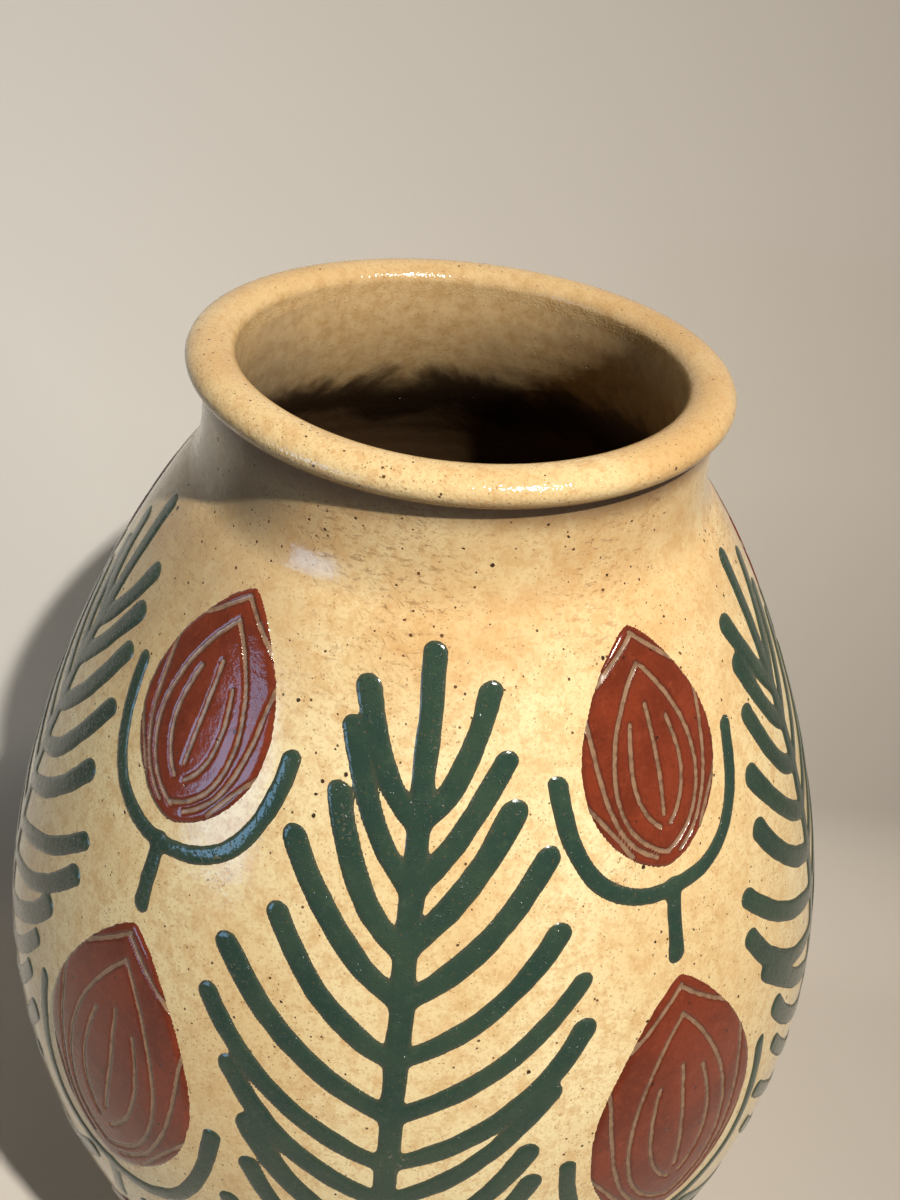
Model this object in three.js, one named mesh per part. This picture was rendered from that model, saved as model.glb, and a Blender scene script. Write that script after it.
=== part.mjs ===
// A hand-thrown earthenware vase: an egg-shaped body on a turned foot, a short neck and a thick
// rolled rim, with fern fronds and pointed buds laid on the wall in raised slip.
// Millimetres, +Z up. The origin is the centre of the foot's underside, and the front faces -Y.

import * as THREE from 'three';

// Foot
const footHeight = 7;
const footRadius = 57;
const footWidth = 9;
const footChamfer = 1.5;

// Body, by its widest ring and the height where the neck starts
const bellyHeight = 131;
const bellyRadius = 104;
const neckStartHeight = 260;
const wallThickness = 6;
const floorThickness = 9;

// How full the outline is: the lengths of its curves' handles
const bellyHandleDown = 53;
const footHandleOut = 20;
const footHandleUp = 33;
const bellyHandleUp = 50;
const shoulderHandleOut = 16;
const shoulderHandleUp = 20;

// Neck and rolled rim
const neckHeight = 21;
const neckTopRadius = 52.2;
const neckFlare = 3.3;
const neckHollow = 0.8;
const neckWallThickness = 6;
const rimRollWidth = 9.8;
const rimRollHeight = 7;
const rimRollOverhang = 0.9;
const rimSeatDepth = 0.6;

// Where one thrown section is joined to the next
const seamGap = 0.3;

// Raised slip
const strokeThickness = 0.9;
const budThickness = 0.8;
const slipClearance = 0.5;

// The ornament goes round the body in equal columns, fronds and buds in turn, and leaves a
// bare band at the neck and at the foot
const columnCount = 5;
const bareBandAbove = 5;
const bareBandBelow = 27;

// Fronds
const stemWidth = 4.6;
const strokeWidth = 4.8;
const strokeSpacing = 12;
const strokeRise = 26;
const shortestRise = 14;
const firstStrokeHeight = 7;
const lastStrokeDepth = 20;
const taperLength = 50;

// Buds, from the top row down. Their stalks share what is left of the height.
const upperBudHeight = 48;
const upperBudWidth = 32;
const middleBudHeight = 66;
const middleBudWidth = 44;
const lowerBudHeight = 56;
const lowerBudWidth = 36;
const budRows = [
  { name: 'upper', height: upperBudHeight, width: upperBudWidth },
  { name: 'middle', height: middleBudHeight, width: middleBudWidth },
  { name: 'lower', height: lowerBudHeight, width: lowerBudWidth },
];
const budGap = 3.2;
const leafWidth = 3.6;

// Shapes of the strokes and buds, as shares of their own length and width
const strokeRootWidth = 1.2;
const strokeEndWidth = 0.72;
const strokeTipLength = 0.4;
const strokeBendOut = 0.62;
const strokeBendUp = 0.3;
const budBaseFullness = 0.8;
const budSideFullness = 0.75;
const budLevels = [0.06, 0.2, 0.38, 0.56, 0.74, 0.9];
const budColumns = [-1, -0.5, 0, 0.5, 1];
const leafTopLevel = 0.45;
const budMiddleLevel = 0.5;

// Fineness of the round sections
const turnSteps = 48;
const lowerSteps = 7;
const upperSteps = 8;
const neckSteps = 3;
const rollSteps = 8;
const strokeSteps = 3;
const leafSteps = 4;

// Glazes and clays
const creamGlaze = { color: 0xe6cc98, roughness: 0.22, metalness: 0 };
const rimGlaze = { color: 0xdcbb86, roughness: 0.24, metalness: 0 };
const bareClay = { color: 0xb98d5e, roughness: 0.85, metalness: 0 };
const greenSlip = { color: 0x2a4940, roughness: 0.25, metalness: 0 };
const brownSlip = { color: 0x8a4127, roughness: 0.3, metalness: 0 };

// The outline of the body, as two curves that meet upright at the widest ring
const footTop = footHeight + seamGap;
const neckStartRadius = neckTopRadius + neckFlare;
const lowerCurve = new THREE.CubicBezierCurve(
  new THREE.Vector2(bellyRadius, bellyHeight),
  new THREE.Vector2(bellyRadius, bellyHeight - bellyHandleDown),
  new THREE.Vector2(footRadius + footHandleOut, footTop + footHandleUp),
  new THREE.Vector2(footRadius, footTop),
);
const upperCurve = new THREE.CubicBezierCurve(
  new THREE.Vector2(bellyRadius, bellyHeight),
  new THREE.Vector2(bellyRadius, bellyHeight + bellyHandleUp),
  new THREE.Vector2(neckStartRadius + shoulderHandleOut, neckStartHeight - shoulderHandleUp),
  new THREE.Vector2(neckStartRadius, neckStartHeight),
);

// A point of the outline at a distance along the wall from the widest ring, up being positive,
// and the direction that points out of the wall there
function outlineAt(along) {
  const curve = along < 0 ? lowerCurve : upperCurve;
  const share = Math.min(Math.abs(along) / curve.getLength(), 1);
  const point = curve.getPointAt(share);
  const tangent = curve.getTangentAt(share).multiplyScalar(along < 0 ? -1 : 1);
  return { point, outward: new THREE.Vector2(tangent.y, -tangent.x) };
}

// A point on the round wall, lifted off it. The angle goes round from the front.
function onWall(angle, along, lift) {
  const { point, outward } = outlineAt(along);
  const radius = point.x + outward.x * lift;
  const height = point.y + outward.y * lift;
  return new THREE.Vector3(radius * Math.sin(angle), -radius * Math.cos(angle), height);
}

function makeMesh(name, geometry, finish) {
  const mesh = new THREE.Mesh(geometry, new THREE.MeshStandardMaterial(finish));
  mesh.name = name;
  return mesh;
}

// A turned section from its outline of [radius, height] points, which goes round the section
// with the clay on its left. LatheGeometry turns about Y, so the result is stood up.
function turned(outline) {
  const points = outline.map(([radius, height]) => new THREE.Vector2(radius, height));
  const geometry = new THREE.LatheGeometry(points, turnSteps);
  geometry.rotateX(Math.PI / 2);
  return geometry;
}

// The outer wall between two distances along one of the curves, and the inner wall behind it
function wallOutline(curve, steps, upward) {
  const outer = [];
  const inner = [];
  for (let i = 0; i <= steps; i += 1) {
    const point = curve.getPointAt(i / steps);
    const tangent = curve.getTangentAt(i / steps).multiplyScalar(upward ? 1 : -1);
    outer.push([point.x, point.y]);
    inner.push([point.x - tangent.y * wallThickness, point.y + tangent.x * wallThickness]);
  }
  return { outer, inner };
}

function footRing() {
  const inside = footRadius - footWidth;
  return turned([
    [inside, 0],
    [footRadius - footChamfer, 0],
    [footRadius, footChamfer],
    [footRadius, footHeight],
    [inside, footHeight],
    [inside, 0],
  ]);
}

// The thrown lower half: floor and wall up to the widest ring
function lowerBody() {
  const { outer, inner } = wallOutline(lowerCurve, lowerSteps, false);
  const floorTop = footTop + floorThickness;
  const innerWall = inner.filter(([, height]) => height > floorTop + wallThickness);
  outer[0][1] -= seamGap / 2;
  innerWall[0][1] = outer[0][1];
  const cornerRadius = innerWall[innerWall.length - 1][0] - wallThickness;
  return turned([
    [0, footTop],
    ...outer.reverse(),
    ...innerWall,
    [cornerRadius, floorTop],
    [0, floorTop],
  ]);
}

// The shoulder: the wall from the widest ring to the neck, cut level at both ends
function upperBody() {
  const { outer, inner } = wallOutline(upperCurve, upperSteps, true);
  const bottom = bellyHeight + seamGap / 2;
  outer[0][1] = bottom;
  inner[0][1] = bottom;
  const neckInside = neckStartRadius - neckWallThickness;
  return turned([...outer, [neckInside, neckStartHeight], ...inner.reverse(), outer[0]]);
}

// The neck: a short collar that curves in from the shoulder and stands nearly upright
function neckCollar() {
  const bottom = neckStartHeight + seamGap;
  const top = neckStartHeight + neckHeight;
  const side = new THREE.QuadraticBezierCurve(
    new THREE.Vector2(neckStartRadius, bottom),
    new THREE.Vector2(neckTopRadius - neckHollow, bottom + neckHeight / 4),
    new THREE.Vector2(neckTopRadius, top),
  );
  const outer = side.getPoints(neckSteps).map((point) => [point.x, point.y]);
  const inner = outer.map(([radius, height]) => [radius - neckWallThickness, height]);
  return turned([...outer, ...inner.reverse(), outer[0]]);
}

// The rolled rim: a fat bead of oval section with a flat seat under it
function rimRoll() {
  const seat = neckStartHeight + neckHeight + seamGap;
  const middle = seat - rimSeatDepth + rimRollHeight / 2;
  const seatAngle = Math.asin((seat - middle) / (rimRollHeight / 2));
  const rollRadius = neckTopRadius - neckWallThickness / 2 + rimRollOverhang;
  const outline = [];
  for (let i = 0; i <= rollSteps; i += 1) {
    const angle = seatAngle + (Math.PI - 2 * seatAngle) * (i / rollSteps);
    outline.push([
      rollRadius + (rimRollWidth / 2) * Math.cos(angle),
      middle + (rimRollHeight / 2) * Math.sin(angle),
    ]);
  }
  return turned([...outline, outline[0]]);
}

// A flat drawing of slip on the wall, at an angle round it from the front. Places are drawn in
// millimetres across and along the wall, and triangles go against the clock as seen from outside.
function newDrawing(angle) {
  const places = [];
  const triangles = [];
  const add = (across, along) => places.push([angle + across / outlineAt(along).point.x, along]) - 1;
  // A strip along rows of [left, right] places
  const fill = (rows) => {
    for (let i = 1; i < rows.length; i += 1) {
      const [left, right] = rows[i - 1];
      const [nextLeft, nextRight] = rows[i];
      triangles.push([left, right, nextRight], [left, nextRight, nextLeft]);
    }
  };
  const point = ([left, right], tip) => triangles.push([left, right, tip]);
  return { places, triangles, add, fill, point };
}

// A stroke that grows along a curve out of a row of the drawing, to a rounded end
function addStroke(drawing, root, curve, width, steps) {
  const beside = (at, forward, aside) => {
    const middle = curve.getPointAt(at);
    const tangent = curve.getTangentAt(at);
    return drawing.add(middle.x + tangent.x * forward - tangent.y * aside,
      middle.y + tangent.y * forward + tangent.x * aside);
  };
  const rows = [root];
  for (let i = 1; i <= steps; i += 1) {
    const half = (width / 2) * (i === steps ? strokeEndWidth : 1);
    rows.push([beside(i / steps, 0, half), beside(i / steps, 0, -half)]);
  }
  drawing.fill(rows);
  drawing.point(rows[steps], beside(1, width * strokeTipLength, 0));
}

function curveThrough(...points) {
  return new THREE.QuadraticBezierCurve(...points.map(([x, y]) => new THREE.Vector2(x, y)));
}

// The drawing laid on the wall as a thin pad: its face, its back and the edge between them
function slipPad({ places, triangles }, thickness) {
  const positions = [];
  for (const lift of [slipClearance, slipClearance + thickness]) {
    for (const [angle, along] of places) positions.push(...onWall(angle, along, lift).toArray());
  }
  const face = places.length;
  const corners = [];
  const edges = new Map();
  for (const [a, b, c] of triangles) {
    corners.push(face + a, face + b, face + c, a, c, b);
    for (const [from, to] of [[a, b], [b, c], [c, a]]) {
      if (!edges.delete(`${to} ${from}`)) edges.set(`${from} ${to}`, [from, to]);
    }
  }
  for (const [from, to] of edges.values()) {
    corners.push(from, to, face + to, from, face + to, face + from);
  }
  const geometry = new THREE.BufferGeometry();
  geometry.setAttribute('position', new THREE.Float32BufferAttribute(positions, 3));
  geometry.setIndex(corners);
  return geometry;
}

// The band of the wall that carries the ornament, as distances from the widest ring
const bandTop = upperCurve.getLength() - bareBandAbove;
const bandBottom = bareBandBelow - lowerCurve.getLength();

// Where each bud's middle lies along the wall, and the length of the stalk space under it
function placedBuds() {
  const budHeights = budRows.reduce((sum, row) => sum + row.height, 0);
  const space = (bandTop - bandBottom - budHeights) / budRows.length;
  let top = bandTop;
  return budRows.map((row) => {
    const middle = top - row.height / 2;
    top -= row.height + space;
    return { ...row, middle, space };
  });
}
const buds = placedBuds();

// Half the width of a bud at a share of its height: round below and drawn out to a point above
function budHalfWidth(width, level) {
  return (width / 2) * Math.sin(Math.PI * level ** budBaseFullness) ** budSideFullness;
}

// How far a frond's stroke may reach out at a place along the wall before it meets a bud
function reachAt(along) {
  const halfColumn = (Math.PI / columnCount) * outlineAt(along).point.x;
  const firstLevel = budLevels[1];
  const lastLevel = budLevels[budLevels.length - 1];
  let taken = leafWidth / 2;
  for (const { middle, height, width } of buds) {
    const level = (along - middle) / height + budMiddleLevel;
    const margin = (budGap + strokeWidth) / height;
    if (level > -margin && level < 1 + margin) {
      const inside = Math.min(Math.max(level, firstLevel), lastLevel);
      taken = Math.max(taken, budHalfWidth(width, inside) + budGap + leafWidth);
    }
  }
  return halfColumn - taken - budGap - strokeWidth / 2;
}

// A frond: an upright stem with strokes that spring from it in pairs and curve upward
function frond(angle) {
  const drawing = newDrawing(angle);
  const stemRow = (along) => [drawing.add(-stemWidth / 2, along), drawing.add(stemWidth / 2, along)];
  const rootHalf = (strokeWidth * strokeRootWidth) / 2;
  const stem = [];
  const last = bandTop - lastStrokeDepth;
  for (let start = bandBottom + firstStrokeHeight; start <= last; start += strokeSpacing) {
    const taper = Math.min((bandTop - start) / taperLength, 1);
    const rise = shortestRise + (strokeRise - shortestRise) * taper;
    const reach = reachAt(start + rise) * taper;
    const below = stemRow(start - rootHalf);
    const above = stemRow(start + rootHalf);
    stem.push(below, above);
    for (const [side, root] of [[-1, [below[0], above[0]]], [1, [above[1], below[1]]]]) {
      const curve = curveThrough([side * stemWidth / 2, start],
        [side * reach * strokeBendOut, start + rise * strokeBendUp], [side * reach, start + rise]);
      addStroke(drawing, root, curve, strokeWidth, strokeSteps);
    }
  }
  stem.push(stemRow(bandTop - stemWidth));
  drawing.fill(stem);
  drawing.point(stem[stem.length - 1], drawing.add(0, bandTop));
  drawing.point([...stem[0]].reverse(), drawing.add(0, bandBottom));
  return slipPad(drawing, strokeThickness);
}

// A pointed bud: a broad field of slip
function bud(angle, { middle, height, width }) {
  const drawing = newDrawing(angle);
  const foot = middle - height / 2;
  const rows = budLevels.map((level) => budColumns.map((column) => (
    drawing.add(column * budHalfWidth(width, level), foot + level * height))));
  const bottomTip = drawing.add(0, foot);
  const topTip = drawing.add(0, foot + height);
  for (let i = 1; i < budColumns.length; i += 1) {
    const strip = rows.map((row) => [row[i - 1], row[i]]);
    drawing.fill(strip);
    drawing.point([...strip[0]].reverse(), bottomTip);
    drawing.point(strip[strip.length - 1], topTip);
  }
  return slipPad(drawing, budThickness);
}

// The stalk under a bud and the two leaves that cup its sides
function calyx(angle, { middle, height, width, space }) {
  const drawing = newDrawing(angle);
  const half = leafWidth / 2;
  const fork = middle - height / 2 - budGap - half;
  const stalkFoot = middle - height / 2 - space + budGap;
  const rows = [stalkFoot + half, fork - half, fork + half].map((along) => (
    [drawing.add(-half, along), drawing.add(half, along)]));
  drawing.fill(rows);
  drawing.point([...rows[0]].reverse(), drawing.add(0, stalkFoot));
  const [, below, above] = rows;
  const leafReach = budHalfWidth(width, leafTopLevel) + budGap + half;
  const leafTop = middle + (leafTopLevel - budMiddleLevel) * height;
  for (const [side, root] of [[-1, [below[0], above[0]]], [1, [above[1], below[1]]]]) {
    const curve = curveThrough([side * half, fork], [side * leafReach, fork], [side * leafReach, leafTop]);
    addStroke(drawing, root, curve, leafWidth, leafSteps);
  }
  return slipPad(drawing, strokeThickness);
}

const vase = new THREE.Group();
vase.add(makeMesh('foot_ring', footRing(), bareClay));
vase.add(makeMesh('lower_body', lowerBody(), creamGlaze));
vase.add(makeMesh('upper_body', upperBody(), creamGlaze));
vase.add(makeMesh('neck_collar', neckCollar(), creamGlaze));
vase.add(makeMesh('rim_roll', rimRoll(), rimGlaze));
for (let column = 0; column < columnCount; column += 1) {
  const frondAngle = (2 * Math.PI * column) / columnCount;
  const budAngle = frondAngle + Math.PI / columnCount;
  vase.add(makeMesh(`fern_frond_${column + 1}`, frond(frondAngle), greenSlip));
  for (const row of buds) {
    vase.add(makeMesh(`${row.name}_bud_${column + 1}`, bud(budAngle, row), brownSlip));
    vase.add(makeMesh(`${row.name}_calyx_${column + 1}`, calyx(budAngle, row), greenSlip));
  }
}

export default vase;
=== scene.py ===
# %% [markdown]
# # A slip-decorated vase, from the wheel to the kiln
#
# The vase is a hand-thrown earthenware pot with a cream glaze full of brown specks. Its
# ornament isn't painted flat: green strokes are trailed on in wet slip and stand up a little,
# and red-brown fields are laid on and then cut through with a fine tool.
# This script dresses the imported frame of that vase. It follows the potter's own order: turn
# the sections, draw the ornament flat, lay it round the wall, and then glaze and light it.

import math
import random

import bpy
from mathutils import Matrix, Vector


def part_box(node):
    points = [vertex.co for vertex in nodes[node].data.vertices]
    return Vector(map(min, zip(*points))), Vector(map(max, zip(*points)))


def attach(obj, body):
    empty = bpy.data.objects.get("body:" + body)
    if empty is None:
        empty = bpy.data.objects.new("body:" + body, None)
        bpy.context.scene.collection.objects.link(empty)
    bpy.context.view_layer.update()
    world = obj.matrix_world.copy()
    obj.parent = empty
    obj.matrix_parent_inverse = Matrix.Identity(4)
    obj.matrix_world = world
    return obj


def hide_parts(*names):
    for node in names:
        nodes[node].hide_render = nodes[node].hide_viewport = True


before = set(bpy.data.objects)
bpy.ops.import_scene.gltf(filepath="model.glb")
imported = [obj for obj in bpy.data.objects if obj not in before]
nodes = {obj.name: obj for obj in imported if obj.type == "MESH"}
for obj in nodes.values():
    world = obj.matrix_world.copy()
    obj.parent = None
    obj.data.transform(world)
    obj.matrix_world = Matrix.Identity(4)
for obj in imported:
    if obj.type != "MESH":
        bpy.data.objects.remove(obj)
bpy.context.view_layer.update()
print("nodes in the frame:", len(nodes))

MM = 0.001


def box_mm(node):
    """A node's lowest and highest corners, in millimetres."""
    low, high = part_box(node)
    return low / MM, high / MM


# %% [markdown]
# ## Wires: arithmetic between nodes
#
# Finishes and shape rules are formulas, and a formula is easier to read as one line than as
# twenty boxes. A Wire holds one output socket, and adding, multiplying or comparing wires
# puts the Math node for it into the tree. The same class serves material trees and Geometry
# Nodes trees, since both use the same Math nodes.

# %% A wire


def pick_socket(sockets, key):
    """The socket with this index, identifier or name; a hidden one only if there's no other."""
    if isinstance(key, int):
        return sockets[key]
    named = [s for s in sockets if s.identifier == key] or [s for s in sockets if s.name == key]
    if not named:
        raise KeyError(f"{key} is not one of {[s.name for s in sockets]}")
    return next((s for s in named if s.enabled), named[0])


class Wire:
    """A value that runs between nodes. Arithmetic on it adds Math nodes."""

    def __init__(self, tree, socket):
        self.tree = tree
        self.socket = socket

    def __add__(self, other):
        return self.tree.math("ADD", self, other)

    def __radd__(self, other):
        return self.tree.math("ADD", other, self)

    def __sub__(self, other):
        return self.tree.math("SUBTRACT", self, other)

    def __rsub__(self, other):
        return self.tree.math("SUBTRACT", other, self)

    def __mul__(self, other):
        return self.tree.math("MULTIPLY", self, other)

    def __rmul__(self, other):
        return self.tree.math("MULTIPLY", other, self)

    def __truediv__(self, other):
        return self.tree.math("DIVIDE", self, other)

    def __neg__(self):
        return self.tree.math("MULTIPLY", self, -1.0)

    def __gt__(self, other):
        return self.tree.math("GREATER_THAN", self, other)

    def __lt__(self, other):
        return self.tree.math("LESS_THAN", self, other)


# %% A tree


class Made:
    """A node that has been added to a tree, with its outputs at hand as wires."""

    def __init__(self, tree, node):
        self.tree = tree
        self.node = node

    def __getitem__(self, key):
        return Wire(self.tree, pick_socket(self.node.outputs, key))


class Tree:
    """A node tree with one method that adds any node and a few short ones for common maths."""

    def __init__(self, node_tree):
        self.nodes = node_tree.nodes
        self.links = node_tree.links

    def node(self, kind, settings=None, sockets=None):
        """Adds a node: its settings are set first, then its sockets get values or wires."""
        node = self.nodes.new(kind)
        for name, value in (settings or {}).items():
            setattr(node, name, value)
        for key, value in (sockets or {}).items():
            self.plug(node, key, value)
        return Made(self, node)

    def plug(self, node, key, value):
        socket = pick_socket(node.inputs, key)
        if isinstance(value, Wire):
            self.links.new(value.socket, socket)
        else:
            socket.default_value = value

    def math(self, operation, *values):
        return self.node("ShaderNodeMath", {"operation": operation}, dict(enumerate(values)))[0]

    def vector(self, operation, *values):
        return self.node("ShaderNodeVectorMath", {"operation": operation}, dict(enumerate(values)))

    def length(self, vector):
        return self.vector("LENGTH", vector)["Value"]

    def scaled(self, vector, by):
        settings = {"operation": "SCALE"}
        return self.node("ShaderNodeVectorMath", settings, {0: vector, "Scale": by})["Vector"]

    def xyz(self, vector):
        made = self.node("ShaderNodeSeparateXYZ", None, {0: vector})
        return made["X"], made["Y"], made["Z"]

    def join_xyz(self, x=0.0, y=0.0, z=0.0):
        return self.node("ShaderNodeCombineXYZ", None, {0: x, 1: y, 2: z})[0]

    def clip(self, value):
        return self.math("MINIMUM", self.math("MAXIMUM", value, 0.0), 1.0)

    def ramp(self, value, start, end):
        """0 before start, 1 after end, with a soft S between; start may be the larger."""
        settings = {"interpolation_type": "SMOOTHSTEP"}
        sockets = {"Value": value, "From Min": start, "From Max": end, "To Min": 0.0, "To Max": 1.0}
        return self.node("ShaderNodeMapRange", settings, sockets)["Result"]

    def mix(self, share, first, second):
        """Mixes two colours by a share from 0 to 1."""
        settings = {"data_type": "RGBA", "clamp_factor": True}
        sockets = {"Factor_Float": share, "A_Color": first, "B_Color": second}
        return self.node("ShaderNodeMix", settings, sockets)["Result_Color"]

    def noise(self, place, scale, detail=2.0, rough=0.5, seed=0.0, warp=0.0):
        """Cloudy noise from 0 to 1 with a fixed seed. Scale is in patches a metre."""
        sockets = {"Vector": place, "W": seed, "Scale": scale, "Detail": detail}
        sockets.update({"Roughness": rough, "Distortion": warp})
        return self.node("ShaderNodeTexNoise", {"noise_dimensions": "4D"}, sockets)[0]


# %% [markdown]
# ## The outline of the pot
#
# A potter judges a pot by its profile. This one is two long curves that meet upright at the
# widest ring, a short neck and a fat rolled rim. The curves' handles are the same driving
# dimensions as the frame's, and their ends are measured on the frame's own nodes, so the
# skin can't drift from the solids. Points are spaced evenly along each curve.

# %% Measure the frame and draw the outline
_, foot_high = box_mm("foot_ring")
lower_low, lower_high = box_mm("lower_body")
upper_low, upper_high = box_mm("upper_body")
_, neck_high = box_mm("neck_collar")
rim_low, rim_high = box_mm("rim_roll")

BELLY = Vector((round(lower_high.y, 1), round((lower_high.z + upper_low.z) / 2, 2)))
FOOT_RADIUS = round(foot_high.y, 1)
FOOT_TOP = round(lower_low.z, 2)
NECK_START = Vector((round(neck_high.y, 1), round(upper_high.z, 2)))
MOUTH_HEIGHT = rim_high.z

# The handles, the wall and the roll are in millimetres, as in the part's own source.
BELLY_HANDLE_DOWN, BELLY_HANDLE_UP = 53, 50
FOOT_HANDLE = Vector((20, 33))
SHOULDER_HANDLE = Vector((16, -20))
WALL = 6.0
NECK_TOP_RADIUS, NECK_HOLLOW = 52.2, 0.8
ROLL_RADIUS, ROLL_WIDTH, ROLL_HEIGHT = 50.1, 9.8, 7.0


def bezier(points, share):
    """A point on a Bezier curve through any number of control points."""
    points = list(points)
    while len(points) > 1:
        points = [a.lerp(b, share) for a, b in zip(points, points[1:])]
    return points[0]


def evenly(points, spacing):
    """The same path with its points at even distances along it."""
    lengths = [0.0]
    for a, b in zip(points, points[1:]):
        lengths.append(lengths[-1] + (b - a).length)
    count = max(2, round(lengths[-1] / spacing))
    spread, at = [], 0
    for i in range(count + 1):
        goal = lengths[-1] * i / count
        while at < len(lengths) - 2 and lengths[at + 1] < goal:
            at += 1
        part = (goal - lengths[at]) / (lengths[at + 1] - lengths[at])
        spread.append(points[at].lerp(points[at + 1], part))
    return spread


def smooth_path(controls, spacing, fineness=400):
    return evenly([bezier(controls, i / fineness) for i in range(fineness + 1)], spacing)


ROW = 1.1  # millimetres between rows of the skin
MEASURING_STEP = 0.2  # millimetres between points where a length is measured
foot_point = Vector((FOOT_RADIUS, FOOT_TOP))
lower_controls = [foot_point, foot_point + FOOT_HANDLE, BELLY - Vector((0, BELLY_HANDLE_DOWN)), BELLY]
upper_controls = [BELLY, BELLY + Vector((0, BELLY_HANDLE_UP)), NECK_START + SHOULDER_HANDLE, NECK_START]
lower_wall = smooth_path(lower_controls, ROW)
upper_wall = smooth_path(upper_controls, ROW)


def path_length(points):
    return sum((b - a).length for a, b in zip(points, points[1:]))


LOWER_LENGTH = path_length(smooth_path(lower_controls, MEASURING_STEP))
UPPER_LENGTH = path_length(smooth_path(upper_controls, MEASURING_STEP))
print("belly", tuple(BELLY), "foot radius", FOOT_RADIUS, "mouth height", round(MOUTH_HEIGHT, 2))
print("wall length below and above the widest ring:", round(LOWER_LENGTH, 1), round(UPPER_LENGTH, 1))


# %% [markdown]
# ## Hand-thrown, not machined
#
# Clay remembers the wheel and the hand. The pot isn't quite round, the rim rises and dips,
# the wall has soft dents, and fine spiral ridges run round the inside and the neck. One node
# group bends whatever it is given in this way. It reads only the place of a point, so the
# wall and the slip that lies on it are bent alike and stay together.

# %% The bending group


def add_input(group, name, kind, default=None):
    socket = group.interface.new_socket(name, in_out="INPUT", socket_type="NodeSocket" + kind)
    if default is not None:
        socket.default_value = default
    return socket


def new_geometry_group(name, inputs):
    """A Geometry Nodes group with a geometry in, a geometry out and the named inputs."""
    group = bpy.data.node_groups.new(name, "GeometryNodeTree")
    add_input(group, "Geometry", "Geometry")
    for label, kind, default in inputs:
        add_input(group, label, kind, default)
    group.interface.new_socket("Geometry", in_out="OUTPUT", socket_type="NodeSocketGeometry")
    tree = Tree(group)
    return group, tree, tree.node("NodeGroupInput")


def read_value(tree, name, kind="FLOAT"):
    """The value that each point carries under this name."""
    made = tree.node("GeometryNodeInputNamedAttribute", {"data_type": kind}, {"Name": name})
    return made["Attribute"]


def hand_thrown():
    """Bends what it is given. Heights along the pot are in metres from its foot."""
    inputs = [
        ("Ovality", "Float", 0.0006),
        ("Rim Sway", "Float", 0.0009),
        ("Dents", "Float", 0.0006),
        ("Ridge Height", "Float", 0.00002),
        ("Ridge Pitch", "Float", 0.0062),
    ]
    group, tree, given = new_geometry_group("Hand thrown", inputs)
    place = tree.node("GeometryNodeInputPosition")[0]
    x, y, z = tree.xyz(place)
    angle = tree.math("ARCTAN2", y, x)
    radius = tree.math("MAXIMUM", tree.length(tree.join_xyz(x, y)), 1e-5)
    height = tree.clip(z / (MOUTH_HEIGHT * MM))
    oval = given["Ovality"] * tree.math("COSINE", angle * 2.0 + 0.7) * height
    lobes = given["Ovality"] * 0.5 * tree.math("COSINE", angle * 3.0 - height * 2.0) * height
    soft = tree.noise(place, 11.0, detail=1.0, seed=3.0) - 0.5
    dents = given["Dents"] * soft * tree.ramp(z, 0.004, 0.05)
    turns = angle / (2 * math.pi) + z / given["Ridge Pitch"]
    ridges = given["Ridge Height"] * tree.math("SINE", turns * 2 * math.pi)
    worn = 0.12 + 0.88 * read_value(tree, "inside")
    patchy = tree.ramp(tree.noise(place, 24.0, seed=8.0), 0.3, 0.6)
    ridges = ridges * worn * patchy * tree.ramp(z, 0.006, 0.02)
    push = (oval + lobes + dents + ridges) / radius
    near_rim = tree.ramp(z, 0.22, 0.285)
    sway = tree.math("COSINE", angle + 2.2) * 0.6 + tree.math("COSINE", angle * 2.0 + 0.4) * 0.7
    sway = sway + tree.math("COSINE", angle * 3.0 + 1.9) * 0.3
    lift = given["Rim Sway"] * sway * near_rim * 0.6 - given["Rim Sway"] * near_rim * 0.4
    offset = tree.join_xyz(x * push, y * push, lift)
    bent = tree.node("GeometryNodeSetPosition", None, {"Geometry": given["Geometry"], "Offset": offset})
    tree.node("NodeGroupOutput", None, {"Geometry": bent["Geometry"]})
    return group


HAND_THROWN = hand_thrown()


def bend_by_hand(tree, geometry):
    made = tree.node("GeometryNodeGroup", {"node_tree": HAND_THROWN}, {"Geometry": geometry})
    return made["Geometry"]


print("nodes in the bending group:", len(HAND_THROWN.nodes))


# %% [markdown]
# ## Turning a section
#
# The wheel is a rule: take an outline and turn it. The tree below makes a grid, gives each
# row one point of the outline and each column one angle, and merges the seam. The outline
# comes in as a string of vertices, so corners stay where the potter cut them. The inside of
# the pot is marked on the outline and carried along, because its glaze is thinner there.

# %% The turning tree

PLACE_TYPE = "FLOAT_VECTOR"  # what Blender calls a value of three numbers
WELD = 1e-6  # metres within which points become one


def store_value(tree, geometry, name, value, kind="FLOAT"):
    """The geometry, with a value written on each point under this name."""
    settings = {"data_type": kind, "domain": "POINT"}
    sockets = {"Geometry": geometry, "Name": name, "Value": value}
    return tree.node("GeometryNodeStoreNamedAttribute", settings, sockets)["Geometry"]


def value_at(tree, geometry, value, index, kind="FLOAT"):
    """The value that one point of some other geometry has, found by the point's index."""
    sockets = {"Geometry": geometry, "Value": value, "Index": index}
    return tree.node("GeometryNodeSampleIndex", {"data_type": kind}, sockets)["Value"]


def put_at(tree, geometry, place, selection=True):
    """The geometry, with its points, or the selected ones, moved to a place."""
    sockets = {"Geometry": geometry, "Selection": selection, "Position": place}
    return tree.node("GeometryNodeSetPosition", None, sockets)["Geometry"]


def welded(tree, geometry):
    sockets = {"Geometry": geometry, "Distance": WELD}
    return tree.node("GeometryNodeMergeByDistance", None, sockets)["Geometry"]


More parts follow.
